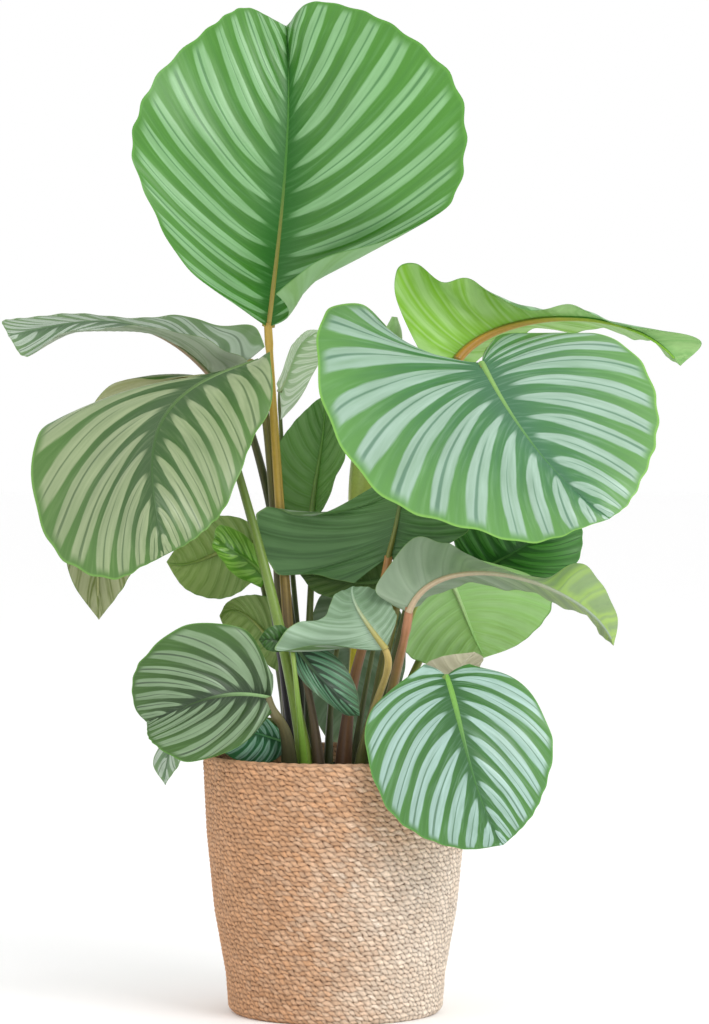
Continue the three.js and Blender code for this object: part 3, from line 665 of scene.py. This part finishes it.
class Graph:
    """Places nodes in a tree. A value given to one is a number, a colour or a Wire."""

    def __init__(self, tree):
        self.tree = tree

    def join(self, value, socket):
        if isinstance(value, Wire):
            self.tree.links.new(value.socket, socket)
        else:
            socket.default_value = value

    def add(self, kind, inputs, output=0, **settings):
        made = self.tree.nodes.new(kind)
        for name, value in settings.items():
            setattr(made, name, value)
        for socket, value in inputs.items():
            self.join(value, made.inputs[socket])
        return Wire(self, made.outputs[output])

    def math(self, operation, *values):
        return self.add("ShaderNodeMath", dict(enumerate(values)), operation=operation)

    def ease(self, value, low, high):
        """0 at low and 1 at high, rounded in between; low may be the larger."""
        span = {"Value": value, "From Min": low, "From Max": high}
        return self.add("ShaderNodeMapRange", span, interpolation_type="SMOOTHSTEP")

    def mix(self, share, first, second, blend_type="MIX"):
        """Between two colours."""
        values = {0: share, 6: first, 7: second}
        return self.add("ShaderNodeMix", values, output=2, data_type="RGBA", blend_type=blend_type)

    def vector(self, x, y, z=0.0):
        return self.add("ShaderNodeCombineXYZ", {0: x, 1: y, 2: z})

    def noise(self, vector, scale, detail=2.0):
        """Smooth noise about 0.5."""
        return self.add("ShaderNodeTexNoise", {"Vector": vector, "Scale": scale, "Detail": detail})

    def chance(self, value, low=0.0, high=1.0):
        """A number from low to high that is another one for each value."""
        share = self.add("ShaderNodeTexWhiteNoise", {"W": value}, noise_dimensions="1D")
        return share * (high - low) + low

    def split(self, vector):
        """The three coordinates of a vector."""
        first = self.add("ShaderNodeSeparateXYZ", {0: vector})
        return [Wire(self, socket) for socket in first.socket.node.outputs]

    def uv(self):
        """The two coordinates of the piece's own UV map."""
        across, along, _ = self.split(self.add("ShaderNodeTexCoord", {}, output="UV"))
        return across, along

    def place(self):
        """The point in the frame, metres."""
        return self.add("ShaderNodeTexCoord", {}, output="Object")


def make_group(name, inputs, outputs, build):
    """A shader node group with named inputs and outputs; build returns its outputs by name."""
    tree = bpy.data.node_groups.new(name, "ShaderNodeTree")
    kinds = {"colour": "NodeSocketColor", "value": "NodeSocketFloat"}
    for socket, (kind, default) in inputs.items():
        made = tree.interface.new_socket(socket, in_out="INPUT", socket_type=kinds[kind])
        made.default_value = default
    for socket, kind in outputs.items():
        tree.interface.new_socket(socket, in_out="OUTPUT", socket_type=kinds[kind])
    graph = Graph(tree)
    start = tree.nodes.new("NodeGroupInput")
    end = tree.nodes.new("NodeGroupOutput")
    made = build(graph, {name: Wire(graph, start.outputs[name]) for name in inputs})
    for socket in outputs:
        graph.join(made[socket], end.inputs[socket])
    return tree


def make_material(name, group, values, finish):
    """A material whose colour, roughness and bump come from a group."""
    roughness, bump, distance = FINISHES[finish]
    material = bpy.data.materials.new(name)
    material.use_nodes = True
    graph = Graph(material.node_tree)
    shader = material.node_tree.nodes["Principled BSDF"]
    looks = material.node_tree.nodes.new("ShaderNodeGroup")
    looks.node_tree = group
    for socket, value in values.items():
        looks.inputs[socket].default_value = value
    out = {socket.name: Wire(graph, socket) for socket in looks.outputs}
    graph.join(out["Colour"], shader.inputs["Base Color"])
    graph.join(roughness - out["Gloss"] * GLOSS, shader.inputs["Roughness"])
    relief = {"Height": out["Height"], "Strength": bump, "Distance": distance * MM}
    graph.join(graph.add("ShaderNodeBump", relief), shader.inputs["Normal"])
    return material


# Leaf looks

def on_blade(graph, stripes, seed):
    """Where a point lies on a blade: out from the rib, along it, across its stripe, a number of that
    stripe's own, and fibres that run along the stripes."""
    across, along = graph.uv()
    side = graph.math("GREATER_THAN", across, 0.5)
    out = abs(across * 2 - 1)
    sway = graph.noise(graph.vector(out * 1.4, along * stripes * 0.5, seed + side * 3), 1.0, 1.0)
    phase = along * stripes + side * HALF_SHIFT + (sway - 0.5) * 0.35
    cell = graph.math("FLOOR", phase) + side * 31 + seed * 7
    fibres = graph.noise(graph.vector(out * 3, phase * 6 + seed * 9, side * 5), 1.0, 3.0)
    return out, along, graph.math("FRACT", phase), cell, fibres


def shaded(graph, colour, *layers):
    """A colour made lighter or darker by noises about 0.5, each with its strength."""
    for amount, strength in layers:
        shade = graph.math("MULTIPLY_ADD", amount - 0.5, strength, 1.0)
        grey = graph.add("ShaderNodeCombineColor", {0: shade, 1: shade, 2: shade})
        colour = graph.mix(1.0, colour, grey, "MULTIPLY")
    return colour


def build_upper(graph, given):
    """Silver stripes between green bands, most with a fine dark line, and a green margin. Shares of
    width run from a stripe's middle to its edge, and out runs from the rib to the margin."""
    out, along, inside, cell, fibres = on_blade(graph, given["Stripes"], given["Seed"])
    middle = abs(inside - 0.5) * 2
    start = graph.chance(cell, 0.02, 0.07)
    width = graph.chance(cell + 0.37, -0.05, 0.05) + given["Silver Width"]
    width = width * graph.ease(out, start - 0.02, start + 0.42) ** 0.42
    width = width * (1 - graph.ease(out, 0.7, 1.1) * 0.38)
    silver = graph.ease(width - middle + (fibres - 0.5) * 0.2, -0.05, 0.1)
    silver = silver * graph.ease(out, start, start + 0.1) * graph.ease(out, 0.99, 0.92)
    line_place = graph.chance(cell + 0.71, 0.42, 0.58)
    line_start = graph.chance(cell + 0.11, 0.0, 0.3)
    line_width = graph.chance(cell + 0.83, 0.015, 0.05) * (out + 0.5)
    line = graph.ease(abs(inside - line_place) - line_width, 0.02, -0.03)
    line = line * graph.ease(out, line_start, line_start + 0.25) * silver
    heart = graph.ease(middle, 0.75, 1.0) * 0.3
    near_rib = graph.ease(out, 0.3, 0.02) * 0.75
    green = graph.mix(graph.math("MAXIMUM", near_rib, heart), given["Band"], given["Deep"])
    green = graph.mix(graph.ease(fibres, 0.45, 0.8) * 0.22, green, given["Silver"])
    green = graph.mix(graph.ease(out, 0.3, 1.0) * 0.35, green, given["Margin"])
    body = graph.chance(cell + 0.29, 0.77, 0.91)
    colour = graph.mix(silver * (body + (fibres - 0.5) * 0.7), green, given["Silver"])
    colour = graph.mix(line * 0.7, colour, given["Deep"])
    colour = graph.mix(graph.ease(out, 0.98, 0.995) * 0.9, colour, given["Margin"])
    patches = graph.noise(graph.place(), 24.0, 2.0)
    colour = shaded(graph, colour, (patches, 0.22), (fibres, 0.2))
    height = graph.math("COSINE", inside * math.tau) * -0.3 + fibres * 0.6 - line * 0.4
    return {"Colour": colour, "Gloss": silver * 0.3 + fibres * 0.5, "Height": height}


def build_under(graph, given):
    """A paler, waxy lower side with raised fine veins and the stripes showing through."""
    out, along, inside, cell, fibres = on_blade(graph, given["Stripes"], given["Seed"])
    middle = abs(inside - 0.5) * 2
    fine = graph.math("SINE", (inside + graph.chance(cell, 0.0, 0.3)) * 8 * math.pi) * 0.5 + 0.5
    vein = graph.ease(middle, 0.8, 0.97)
    width = graph.chance(cell + 0.2, 0.35, 0.65)
    through = graph.ease(width - middle * 0.7 + (fibres - 0.5) * 0.6, -0.1, 0.35)
    blade = graph.mix(graph.ease(along, 0.3, 0.75), given["Blade"], given["Far"])
    colour = graph.mix(through * 0.6 * graph.ease(out, 0.05, 0.3), blade, given["Veins"])
    colour = graph.mix(fine * 0.12 + vein * 0.35, colour, given["Veins"])
    colour = graph.mix(graph.ease(out, 0.98, 0.995) * 0.7, colour, given["Margin"])
    patches = graph.noise(graph.place(), 30.0, 3.0)
    colour = shaded(graph, colour, (patches, 0.25), (fibres, 0.25))
    return {"Colour": colour, "Gloss": fibres * 0.4, "Height": vein * 0.6 + fine * 0.12 + fibres * 0.4}


def build_stem(graph, given):
    """A fleshy stalk: lower and upper colour, long streaks and small specks."""
    around, along = graph.uv()
    streaks = graph.noise(graph.vector(around * 9, along * 1.6, given["Seed"]), 1.0, 3.0)
    specks = graph.noise(graph.place(), 420.0, 2.0)
    share = graph.ease(along + (streaks - 0.5) * 0.4, 0.1, given["Reach"])
    colour = graph.mix(share, given["Lower"], given["Upper"])
    colour = shaded(graph, colour, (streaks, 0.9), (specks, 0.3))
    return {"Colour": colour, "Gloss": streaks * 0.5, "Height": streaks + specks * 0.2}


COLOUR = ("colour", (0.5, 0.5, 0.5, 1))
PATTERN = {"Stripes": ("value", 12.0), "Seed": ("value", 0.0)}
LOOKS = {"Colour": "colour", "Gloss": "value", "Height": "value"}
UPPER_INPUTS = {
    **PATTERN, "Silver Width": ("value", SILVER_WIDTH),
    "Silver": COLOUR, "Band": COLOUR, "Deep": COLOUR, "Margin": COLOUR,
}
UNDER_INPUTS = {**PATTERN, "Blade": COLOUR, "Far": COLOUR, "Veins": COLOUR, "Margin": COLOUR}
STEM_INPUTS = {"Seed": ("value", 0.0), "Reach": ("value", STALK_REACH), "Lower": COLOUR, "Upper": COLOUR}
upper_group = make_group("leaf_upper_side", UPPER_INPUTS, LOOKS, build_upper)
under_group = make_group("leaf_lower_side", UNDER_INPUTS, LOOKS, build_under)
stem_group = make_group("stalk", STEM_INPUTS, LOOKS, build_stem)

# Slots of a leaf's materials
UPPER_SIDE = 0
LOWER_SIDE = 1
STALK = 2
RIB_ABOVE = 3
RIB_BELOW = 4


def blade_slot(around):
    return UPPER_SIDE if around < 0.5 else LOWER_SIDE


def rib_slot(around):
    return RIB_ABOVE if around < 0.5 else RIB_BELOW


def leaf_materials(name, leaf, seed):
    silver, band, deep, margin, rib = (paint(code) for code in SKINS[leaf["skin"]])
    blade, far, veins, rib_below = (paint(code) for code in UNDERS[leaf["under"]])
    lower, upper = (paint(code) for code in leaf["stem"])
    width = leaf.get("silver", SILVER_WIDTH)
    reach = leaf.get("reach", STALK_REACH)
    pattern = {"Stripes": float(leaf["stripes"]), "Seed": seed, "Margin": margin}
    bands = {"Silver Width": width, "Silver": silver, "Band": band, "Deep": deep}
    parts = {
        "upper": (upper_group, {**pattern, **bands}),
        "lower": (under_group, {**pattern, "Blade": blade, "Far": far, "Veins": veins}),
        "stalk": (stem_group, {"Seed": seed, "Reach": reach, "Lower": lower, "Upper": upper}),
        "rib_above": (stem_group, {"Seed": seed, "Reach": RIB_REACH, "Lower": rib, "Upper": band}),
        "rib_below": (stem_group, {"Seed": seed, "Lower": rib_below, "Upper": blade}),
    }
    return [make_material(f"{name}_{part}", *values, part) for part, values in parts.items()]


# Leaves

class Blade:
    """A leaf blade: u runs along the rib and picks a vein, v runs out along that vein."""

    def __init__(self, leaf):
        self.leaf = leaf
        self.pleat = FINE[leaf["size"]][2]
        self.rib = cubic([spot(*place) for place in leaf["rib"]])
        self.margins = {}
        for half in ("left", "right"):
            self.margins[half] = [spot(*place) for place in (*leaf[half], leaf["rib"][3])]
        self.veins = {}
        self.normals = {}

    def slope(self, s):
        return (self.rib(s + SLOPE_STEP) - self.rib(s - SLOPE_STEP)).normalized()

    def rib_share(self, u):
        """Where on the rib the vein starts that ends at u along the margin."""
        return EVEN_SHARE * u + (1 - EVEN_SHARE) * u ** self.leaf.get("crowding", VEIN_CROWDING)

    def margin_share(self, s):
        """The other way round, by halving."""
        low, high = 0.0, 1.0
        for _ in range(HALVINGS):
            middle = (low + high) / 2
            if self.rib_share(middle) < s:
                low = middle
            else:
                high = middle
        return high

    def vein(self, half, u):
        """The rib's end, middle and margin's end of a vein, the way up from it and its ripple."""
        key = half, round(u, 6)
        if key in self.veins:
            return self.veins[key]
        side = 1 if half == "left" else -1
        s = self.rib_share(u)
        on_rib = self.rib(s)
        along = self.slope(s)
        on_margin = spline(self.margins[half], u)
        reach = (on_margin - on_rib).length
        up = (along.cross(on_margin - on_rib) * side).normalized()
        arch = bend3(self.leaf.get("arch", {}).get(half, ARCH), u)
        middle = (on_rib + on_margin) / 2 - along * bend3(VEIN_BOW, u) * reach + up * 2 * arch * reach
        height, count = self.leaf["wave"]
        start = WAVE_START + (0 if half == "left" else OTHER_HALF_START)
        fade = math.sin(math.pi / 2 * fade_ends(u, WAVE_FADE))
        ripple = height * math.sin(math.tau * count * u + start) * fade
        self.veins[key] = on_rib, middle, on_margin, up, ripple
        return self.veins[key]

    def chart(self, across, along):
        """The pattern's map: out from the rib, and along it by stripes that sweep towards the tip."""
        out = abs(2 * across - 1) ** COLUMN_CROWDING
        sweep = self.leaf.get("sweep", SWEEP) * 4 * along * (1 - along) * out
        return 0.5 + math.copysign(out / 2, across - 0.5), along - sweep

    def place(self, across, along):
        """The middle of the blade's thickness."""
        half = "left" if across < 0.5 else "right"
        v = abs(2 * across - 1) ** COLUMN_CROWDING
        on_rib, middle, on_margin, up, ripple = self.vein(half, along)
        shift = 0 if half == "left" else HALF_SHIFT
        wave = math.cos(math.tau * (self.chart(across, along)[1] * self.leaf["stripes"] + shift))
        fade = fade_ends(along, PLEAT_FADE)
        point = (1 - v) ** 2 * on_rib + 2 * v * (1 - v) * middle + v * v * on_margin
        point += (on_margin - on_rib) * SCALLOP * wave * v ** 5 * fade
        buckle = noise.noise(point * BUCKLES_PER_MM) * BUCKLE * v
        pleat = -self.pleat * wave * ease(v, 0.02, 0.3) * (1 - PLEAT_DROP * v) * fade
        return point + up * (ripple * v * v + pleat + buckle)

    def normal(self, across, along):
        key = round(across, 5), round(along, 5)
        if key not in self.normals:
            left, right = max(0, across - NORMAL_STEP), min(1, across + NORMAL_STEP)
            low, high = max(0, along - NORMAL_STEP), min(1, along + NORMAL_STEP)
            sideways = self.place(right, along) - self.place(left, along)
            ahead = self.place(across, high) - self.place(across, low)
            self.normals[key] = sideways.cross(ahead).normalized()
        return self.normals[key]

    def skin(self, around, along):
        """The closed blade: over the upper side for half a turn, then back under the lower one."""
        across = 1 - abs(1 - 2 * around)
        point = self.place(across, along)
        if min(across, 1 - across, along, 1 - along) < AT_EDGE:
            return point
        side = 1 if around < 0.5 else -1
        return point + self.normal(across, along) * side * BLADE_THICKNESS / 2

    def skin_chart(self, around, along):
        return self.chart(1 - abs(1 - 2 * around), along)

    def rib_rings(self, radii):
        """Rings for the rib's tube, most of it sunk under the upper side."""
        rings = []
        for i, radius in enumerate(radii):
            s = RIB_END * i / (len(radii) - 1)
            u = self.margin_share(s)
            up = (self.vein("left", u)[3] + self.vein("right", u)[3]).normalized()
            aside = self.slope(s).cross(up).normalized()
            rings.append((self.rib(s) - up * radius * RIB_SUNK, aside, up))
        return rings


def stalk_path(leaf, blade):
    """From the foot in the soil up to the rib's first stretch."""
    upper, lower = (spot(*place) for place in leaf["stalk"])
    foot = Vector((*leaf["foot"], FOOT_HEIGHT))
    curve = cubic([foot, lower, upper, blade.rib(STALK_END)])
    return [curve(i / STALK_STEPS) for i in range(STALK_STEPS + 1)]


def stalk_radii(leaf, path):
    """The stalk tapers upwards, with a sheath round its foot and a short knee under the blade."""
    foot, top = STALK_RADII[leaf["size"]]
    radii = []
    for i, point in enumerate(path):
        knee = ease(-(path[-1] - point).length, -KNEE_LENGTH, -KNEE_FULL)
        sheath = ease(-point.z, -SHEATH_TOP, -SHEATH_FULL)
        swell = 1 + (KNEE_SWELL - 1) * knee + (SHEATH_SWELL - 1) * sheath
        radii.append((foot + (top - foot) * i / STALK_STEPS) * swell)
    return radii


def make_leaf(name, leaf, seed):
    rows_per_stripe, columns, _ = FINE[leaf["size"]]
    bm = start_mesh()
    blade = Blade(leaf)
    sheet(bm, 4 * columns, rows_per_stripe * leaf["stripes"], blade.skin, blade_slot, blade.skin_chart)
    path = stalk_path(leaf, blade)
    radii = stalk_radii(leaf, path)
    tube(bm, along_path(path), radii, STALK_SIDES, STALK)
    thick, thin = leaf.get("rib_radii", RIB_RADII[leaf["size"]])
    rib_radii = [thick + (thin - thick) * (i / RIB_STEPS) ** RIB_TAPER for i in range(RIB_STEPS + 1)]
    tube(bm, blade.rib_rings(rib_radii), rib_radii, RIB_SIDES, rib_slot)
    return finish_piece(bm, "calathea_" + name, leaf_materials(name, leaf, seed), "leaf", "leaf_" + name)


for number, (leaf_name, leaf_values) in enumerate(LEAVES.items()):
    make_leaf(leaf_name, leaf_values, float(number))


# Furled leaf

def make_furled_leaf():
    """A blade rolled up round its rib: a coil that narrows to a point above and a stalk below."""
    points = [Vector((*FURLED["foot"], FOOT_HEIGHT)), *(spot(*place) for place in FURLED["spots"])]
    radii = [Vector((radius, 0, 0)) for radius in FURLED["radii"]]
    steps = FURLED["steps"]
    path = [spline(points, i / steps) for i in range(steps + 1)]
    widths = [spline(radii, i / steps).x for i in range(steps + 1)]
    rings = along_path(path)
    bm = start_mesh()

    def place(around, along):
        """Out along the coil's outer side for half a turn of the sheet, then back inside it."""
        across = 1 - abs(1 - 2 * around)
        i = round(along * steps)
        point, first, second = rings[i]
        angle = math.tau * FURLED["turns"] * across + FURLED["start"] + along * FURLED["twist"]
        radius = widths[i] * (1 - FURLED["tightness"] * (1 - across))
        if around > 0.5 and across > AT_EDGE:
            radius -= BLADE_THICKNESS
        return point + (first * math.cos(angle) + second * math.sin(angle)) * radius

    sheet(bm, FURLED["columns"], steps, place)
    core = [min(width * 0.5, FURLED["core"]) for width in widths]
    tube(bm, rings, core, STALK_SIDES, 1)
    lime = {"Seed": 3.0, "Lower": paint("#e2d01c"), "Upper": paint("#a6d088")}
    stalk = {"Seed": 5.0, "Lower": paint("#5f6a2c"), "Upper": paint("#9aa240")}
    materials = [
        make_material("furled_blade", stem_group, lime, "furled"),
        make_material("furled_stalk", stem_group, stalk, "furled"),
    ]
    return finish_piece(bm, "calathea_furled", materials, "furled_leaf", "leaf_furled")


make_furled_leaf()


# Basket

basket_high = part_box("basket")[1] / MM
BASKET_HEIGHT = basket_high.z
BASKET_RADIUS = basket_high.x - BOX_MARGIN


def basket_radius(height):
    """The basket's outer radius, by straight stretches between its outline's points."""
    share = height / BASKET_HEIGHT
    i = 0
    while i < len(BASKET_OUTLINE) - 2 and share > BASKET_OUTLINE[i + 1][0]:
        i += 1
    (low, narrow), (high, wide) = BASKET_OUTLINE[i], BASKET_OUTLINE[i + 1]
    return BASKET_RADIUS * (narrow + (wide - narrow) * (share - low) / (high - low))


def waves(kinds, around, row, sine):
    """The sum of some waves. This and the next two are given sine, and floor where they count, so
    that the mesh and its material share them."""
    return sum(sine(around * count * math.pi + row * shift) * height for count, shift, height in kinds)


def wandering(around, row, sine):
    """The rows of cord aren't quite level, and nest into one another."""
    return row + waves(ROW_WAVES, around, row, sine)


def strand_phase(around, row, floor, sine):
    """Counts the cord's strands: they slant across each row, and their lengths are uneven."""
    cord = floor(row)
    uneven = waves(STRAND_WAVES, around, cord, sine)
    return around * STRANDS + (row - cord) * STRAND_SLANT + cord * STRAND_STEP + uneven


def cord_relief(around, row):
    """Height of the twisted cord over the wall: deepest where a strand's end meets the next row."""
    row = wandering(around, row, math.sin)
    height = row - math.floor(row)
    phase = strand_phase(around, row, math.floor, math.sin)
    gap = 1 - abs(math.sin(math.pi * phase)) ** CORD_ROUNDNESS
    bulge = math.sin(math.pi * height) ** CORD_ROUNDNESS if 0 < height < 1 else 0
    hollow = (1 - bulge) * (GROOVE_DEPTH + (1 - GROOVE_DEPTH) * gap) + GAP_DEPTH * gap
    sideways, upwards = UNEVEN_LENGTHS
    uneven = 1 + UNEVENNESS * noise.noise(Vector((around * sideways, row * upwards, 3)))
    return (CORD_RELIEF + STRAND_RELIEF) * (1 - hollow * uneven)


def make_basket_wall():
    bm = start_mesh()
    rows = CORD_ROWS * ROWS_PER_CORD

    def place(around, along):
        row = round(along * rows) / ROWS_PER_CORD
        out = outward(math.tau * around)
        sag = noise.noise(out + upward(along * SAG_WAVES)) * CORD_SAG * math.sin(math.pi * along)
        height = along * (BASKET_HEIGHT - RIM_HEIGHT) + sag
        radius = basket_radius(height) - CORD_RELIEF - STRAND_RELIEF / 2 + cord_relief(around, row)
        return out * radius + upward(height)

    sheet(bm, round(STRANDS * COLUMNS_PER_STRAND), rows, place)
    return finish_piece(bm, "basket_weave", [seagrass_material], "basket", "basket")


def build_seagrass(graph, given):
    """Dry seagrass cord: strands of uneven colour, with painted shade in the pits and grooves between
    them, a painted highlight on each strand's crown, and painted light that makes the right side paler.
    """
    around, up = graph.uv()

    def floor(value):
        return graph.math("FLOOR", value)

    def sine(value):
        return graph.math("SINE", value)

    row = wandering(around, up * CORD_ROWS, sine)
    phase = strand_phase(around, row, floor, sine)
    cord = floor(row)
    off_middle = abs(row - cord - 0.5) * 2
    strand = floor(phase) + cord * CORD_SEED
    tone = graph.chance(strand)
    between = 1 - abs(sine(phase * math.pi))
    fibres = graph.noise(graph.vector(around * 500 + (row - cord) * 5, row * 6, 2.0), 1.0, 3.0)
    patches = graph.noise(graph.place(), 44.0, 4.0)
    # Painted light: lit grows towards the basket's right side, where the light falls, and is halved near
    # the top as painted shade under the leaves. With the patches and each strand's own tone it turns the
    # cord from tan to straw, and then on to the pale colour.
    aside, _, height = graph.split(graph.place())
    lit = graph.ease(aside, -0.09, 0.1) * (1 - graph.ease(height, 0.1, 0.18) * 0.5)
    warm = graph.ease(lit + (patches - 0.5) * 0.4 + (tone - 0.5) * 0.3, -0.05, 0.95)
    colour = graph.mix(warm, given["Tan"], given["Straw"])
    core = graph.ease(between, 0.8, 0.2) * graph.ease(off_middle, 1.0, 0.3)
    streak = graph.ease(tone, 0.88, 0.96) * core * graph.ease(fibres, 0.3, 0.6)
    pale = graph.ease(lit * 0.7 + patches * 0.35 + streak * 0.25, 0.5, 1.1) * 0.85
    colour = graph.mix(pale, colour, given["Bleached"])
    tufts = graph.noise(graph.place(), 280.0, 3.0)
    own = graph.chance(strand + 0.7)
    # core also paints a highlight along each strand's crown and painted shade at its edges; tufts,
    # fibres and each strand's own chance are the cord's own uneven tone.
    colour = shaded(graph, colour, (tufts, 0.75), (fibres, 0.8), (core, 0.32), (own, 0.22))
    # Painted shade: darker in the gaps where strands meet, and along the grooves between rows of cord.
    pit_shade = graph.ease(between, 0.45, 0.9) * graph.ease(off_middle, 0.15, 0.75)
    pit_shade = pit_shade * graph.chance(strand + 0.4, 0.25, 1.0)
    pit_shade = graph.math("MAXIMUM", pit_shade, graph.ease(off_middle, 0.75, 1.0) * 0.2)
    colour = graph.mix(pit_shade * 0.9, colour, given["Pit"])
    return {"Colour": colour, "Gloss": fibres * 0.2, "Height": fibres - pit_shade * 2}


# Tan and straw are the cord's own tones, also mixed by the painted light. The pale colour is laid on
# mostly by painted light on the right side, and the pit colour is painted shade in gaps and grooves.
CORD_COLOURS = {"Tan": "#c8976e", "Straw": "#dfc8b0", "Bleached": "#f5e7d7", "Pit": "#67442a"}
cord_inputs = dict.fromkeys(CORD_COLOURS, COLOUR)
seagrass_group = make_group("seagrass_cord", cord_inputs, LOOKS, build_seagrass)
seagrass = {name: paint(code) for name, code in CORD_COLOURS.items()}
seagrass_material = make_material("seagrass", seagrass_group, seagrass, "seagrass")

make_basket_wall()


def make_basket_inside():
    """The twisted rim, the inner wall and floor, and the base that it stands on."""
    bm = start_mesh()
    middle = BASKET_HEIGHT - RIM_HEIGHT
    rim_radius = basket_radius(middle) - RIM_HEIGHT

    def rim(across, along):
        angle = math.tau * across
        twist = abs(math.sin(math.pi * (along * RIM_TWISTS + across))) ** RIM_ROUNDNESS
        radius = RIM_HEIGHT * (RIM_CORE + (1 - RIM_CORE) * twist)
        out = outward(math.tau * along) * (rim_radius + radius * math.cos(angle))
        return out + upward(middle - radius * math.sin(angle))

    sheet(bm, RIM_SIDES, RIM_COLUMNS, rim)
    top = BASKET_HEIGHT - LINING_TOP
    wall = []
    for i in range(LINING_ROWS + 1):
        height = top - i * (top - FLOOR_TOP) / LINING_ROWS
        wall.append((basket_radius(height) - BASKET_WALL + LINING_RELIEF * (i % 2), height))
    turned(bm, [(rim_radius, top), *wall, (0, FLOOR_TOP)], ROUND_SIDES)
    foot = basket_radius(0)
    coils = [(i * foot / BASE_COILS, BASE_RELIEF * (i % 2)) for i in range(BASE_COILS)]
    turned(bm, [*coils, *offset(foot, 0, BASE_EDGE)], ROUND_SIDES)
    return finish_piece(bm, "basket_lining", [seagrass_material], "basket", "basket")


make_basket_inside()


# Nursery pot and soil

def build_plain(graph, given):
    """Moulded plastic or soil: one colour broken by fine and coarse noise."""
    place = graph.place()
    fine = graph.noise(place, given["Grain"], 4.0)
    coarse = graph.noise(place, 40.0, 3.0)
    colour = graph.mix(graph.ease(fine * 0.6 + coarse * 0.5, 0.35, 0.75), given["Dark"], given["Light"])
    return {"Colour": colour, "Gloss": coarse * 0.3, "Height": fine}


PLAIN_INPUTS = {"Grain": ("value", 300.0), "Dark": COLOUR, "Light": COLOUR}
plain_group = make_group("fine_grain", PLAIN_INPUTS, LOOKS, build_plain)
plastic = {"Grain": 900.0, "Dark": paint("#26241f"), "Light": paint("#35322b")}
earth = {"Grain": 420.0, "Dark": paint("#2a1c12"), "Light": paint("#6b4c34")}
plastic_material = make_material("black_plastic", plain_group, plastic, "plastic")
soil_material = make_material("potting_soil", plain_group, earth, "soil")

pot_low, pot_high = (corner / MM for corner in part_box("nursery_pot"))


def make_nursery_pot():
    """A thin tapered pot with a rolled lip."""
    bm = start_mesh()
    base = offset(POT_FOOT, pot_low.z, POT_BASE)
    inside = offset(POT_FOOT, pot_low.z, POT_INSIDE)
    profile = [
        (0, base[0][1]), *base, *offset(pot_high.x, pot_high.z, POT_LIP), *inside, (0, inside[-1][1]),
    ]
    turned(bm, profile, POT_SIDES)
    return finish_piece(bm, "pot_shell", [plastic_material], "nursery_pot", "nursery_pot")


soil_low, soil_high = (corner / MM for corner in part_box("soil"))


def lumps(point, kind):
    count, height = kind
    return noise.noise(point * count) * height


def soil_dome(radius):
    """Height of the soil at a distance from its middle, without its lumps."""
    return soil_high.z - SOIL_DOME * (radius / soil_high.x) ** 2 - SOIL_DROP


def make_soil():
    """A crumbly dome of soil, with loose crumbs lying on it."""
    reach = soil_high.x
    columns, rows, sides = SOIL_MESH
    bm = start_mesh()

    def place(across, along):
        radius = reach * (1 - along)
        flat = outward(math.tau * across) * radius
        relief = (lumps(flat, LUMPS) + lumps(flat, FINE_LUMPS)) * (1 - WALL_CALM * (radius / reach) ** 6)
        return flat + upward(soil_dome(radius) + relief)

    sheet(bm, columns, rows, place)
    side = offset(reach, soil_high.z, SOIL_SIDE)
    turned(bm, [(0, soil_low.z), (SOIL_FOOT, soil_low.z), *side], sides)
    least, further = CRUMB_SIZE
    dents, depth = CRUMB_DENTS
    for i in range(CRUMBS):
        radius = reach * CRUMB_SPREAD * math.sqrt((i + 0.5) / CRUMBS)
        size = least + further * abs(noise.noise(Vector((i * 1.7, 0, 0))))
        where = outward(i * GOLDEN_ANGLE) * radius
        where += upward(soil_dome(radius) + lumps(where, LUMPS))
        for vert in bmesh.ops.create_icosphere(bm, subdivisions=1, radius=size * MM)["verts"]:
            vert.co = vert.co * CRUMB_SHAPE
            vert.co += vert.co * noise.noise(vert.co * dents + Vector((i, 0, 0))) * depth
            vert.co += where * MM
    return finish_piece(bm, "soil_top", [soil_material], "soil", "soil")


make_nursery_pot()
make_soil()


# Floor, light and camera

def make_floor():
    bm = start_mesh()
    bmesh.ops.create_grid(bm, x_segments=8, y_segments=8, size=FLOOR_REACH, calc_uvs=True)
    mesh = bpy.data.meshes.new("floor")
    bm.to_mesh(mesh)
    bm.free()
    floor = add_object("floor", mesh)
    material = bpy.data.materials.new("pale_floor")
    material.use_nodes = True
    shader = material.node_tree.nodes["Principled BSDF"]
    shader.inputs["Base Color"].default_value = (0.99, 0.99, 0.99, 1)
    shader.inputs["Roughness"].default_value = 0.9
    mesh.materials.append(material)


def aimed(name, data, place, aim):
    """A light or camera that looks from one point at another."""
    made = add_object(name, data)
    made.location = place
    made.rotation_euler = (aim - made.location).to_track_quat("-Z", "Y").to_euler()
    return made


def soft_light(name, place, size, power):
    light = bpy.data.lights.new(name, "AREA")
    light.size = size
    light.energy = power
    aimed(name, light, place, LAMP_AIM)


def make_world():
    world = bpy.data.worlds.new("studio")
    world.use_nodes = True
    background = world.node_tree.nodes["Background"]
    background.inputs["Color"].default_value = (1, 1, 1, 1)
    background.inputs["Strength"].default_value = 1.0
    bpy.context.scene.world = world


def make_camera():
    data = bpy.data.cameras.new("camera")
    data.sensor_width = SENSOR_WIDTH
    data.lens = CAMERA_FOCUS * SENSOR_WIDTH / IMAGE_HEIGHT
    middle = (IMAGE_WIDTH / 2 - VIEW_MIDDLE[0]) * VIEW_STEP
    place = Vector((middle, -VIEW_DISTANCE, CAMERA_HEIGHT)) * MM
    bpy.context.scene.camera = aimed("camera", data, place, Vector((middle, 0, VIEW_HEIGHT)) * MM)


make_floor()
make_world()
make_camera()
bpy.context.scene.view_settings.view_transform = "Standard"
for lamp_name, lamp_values in LAMPS.items():
    soft_light(lamp_name, *lamp_values)
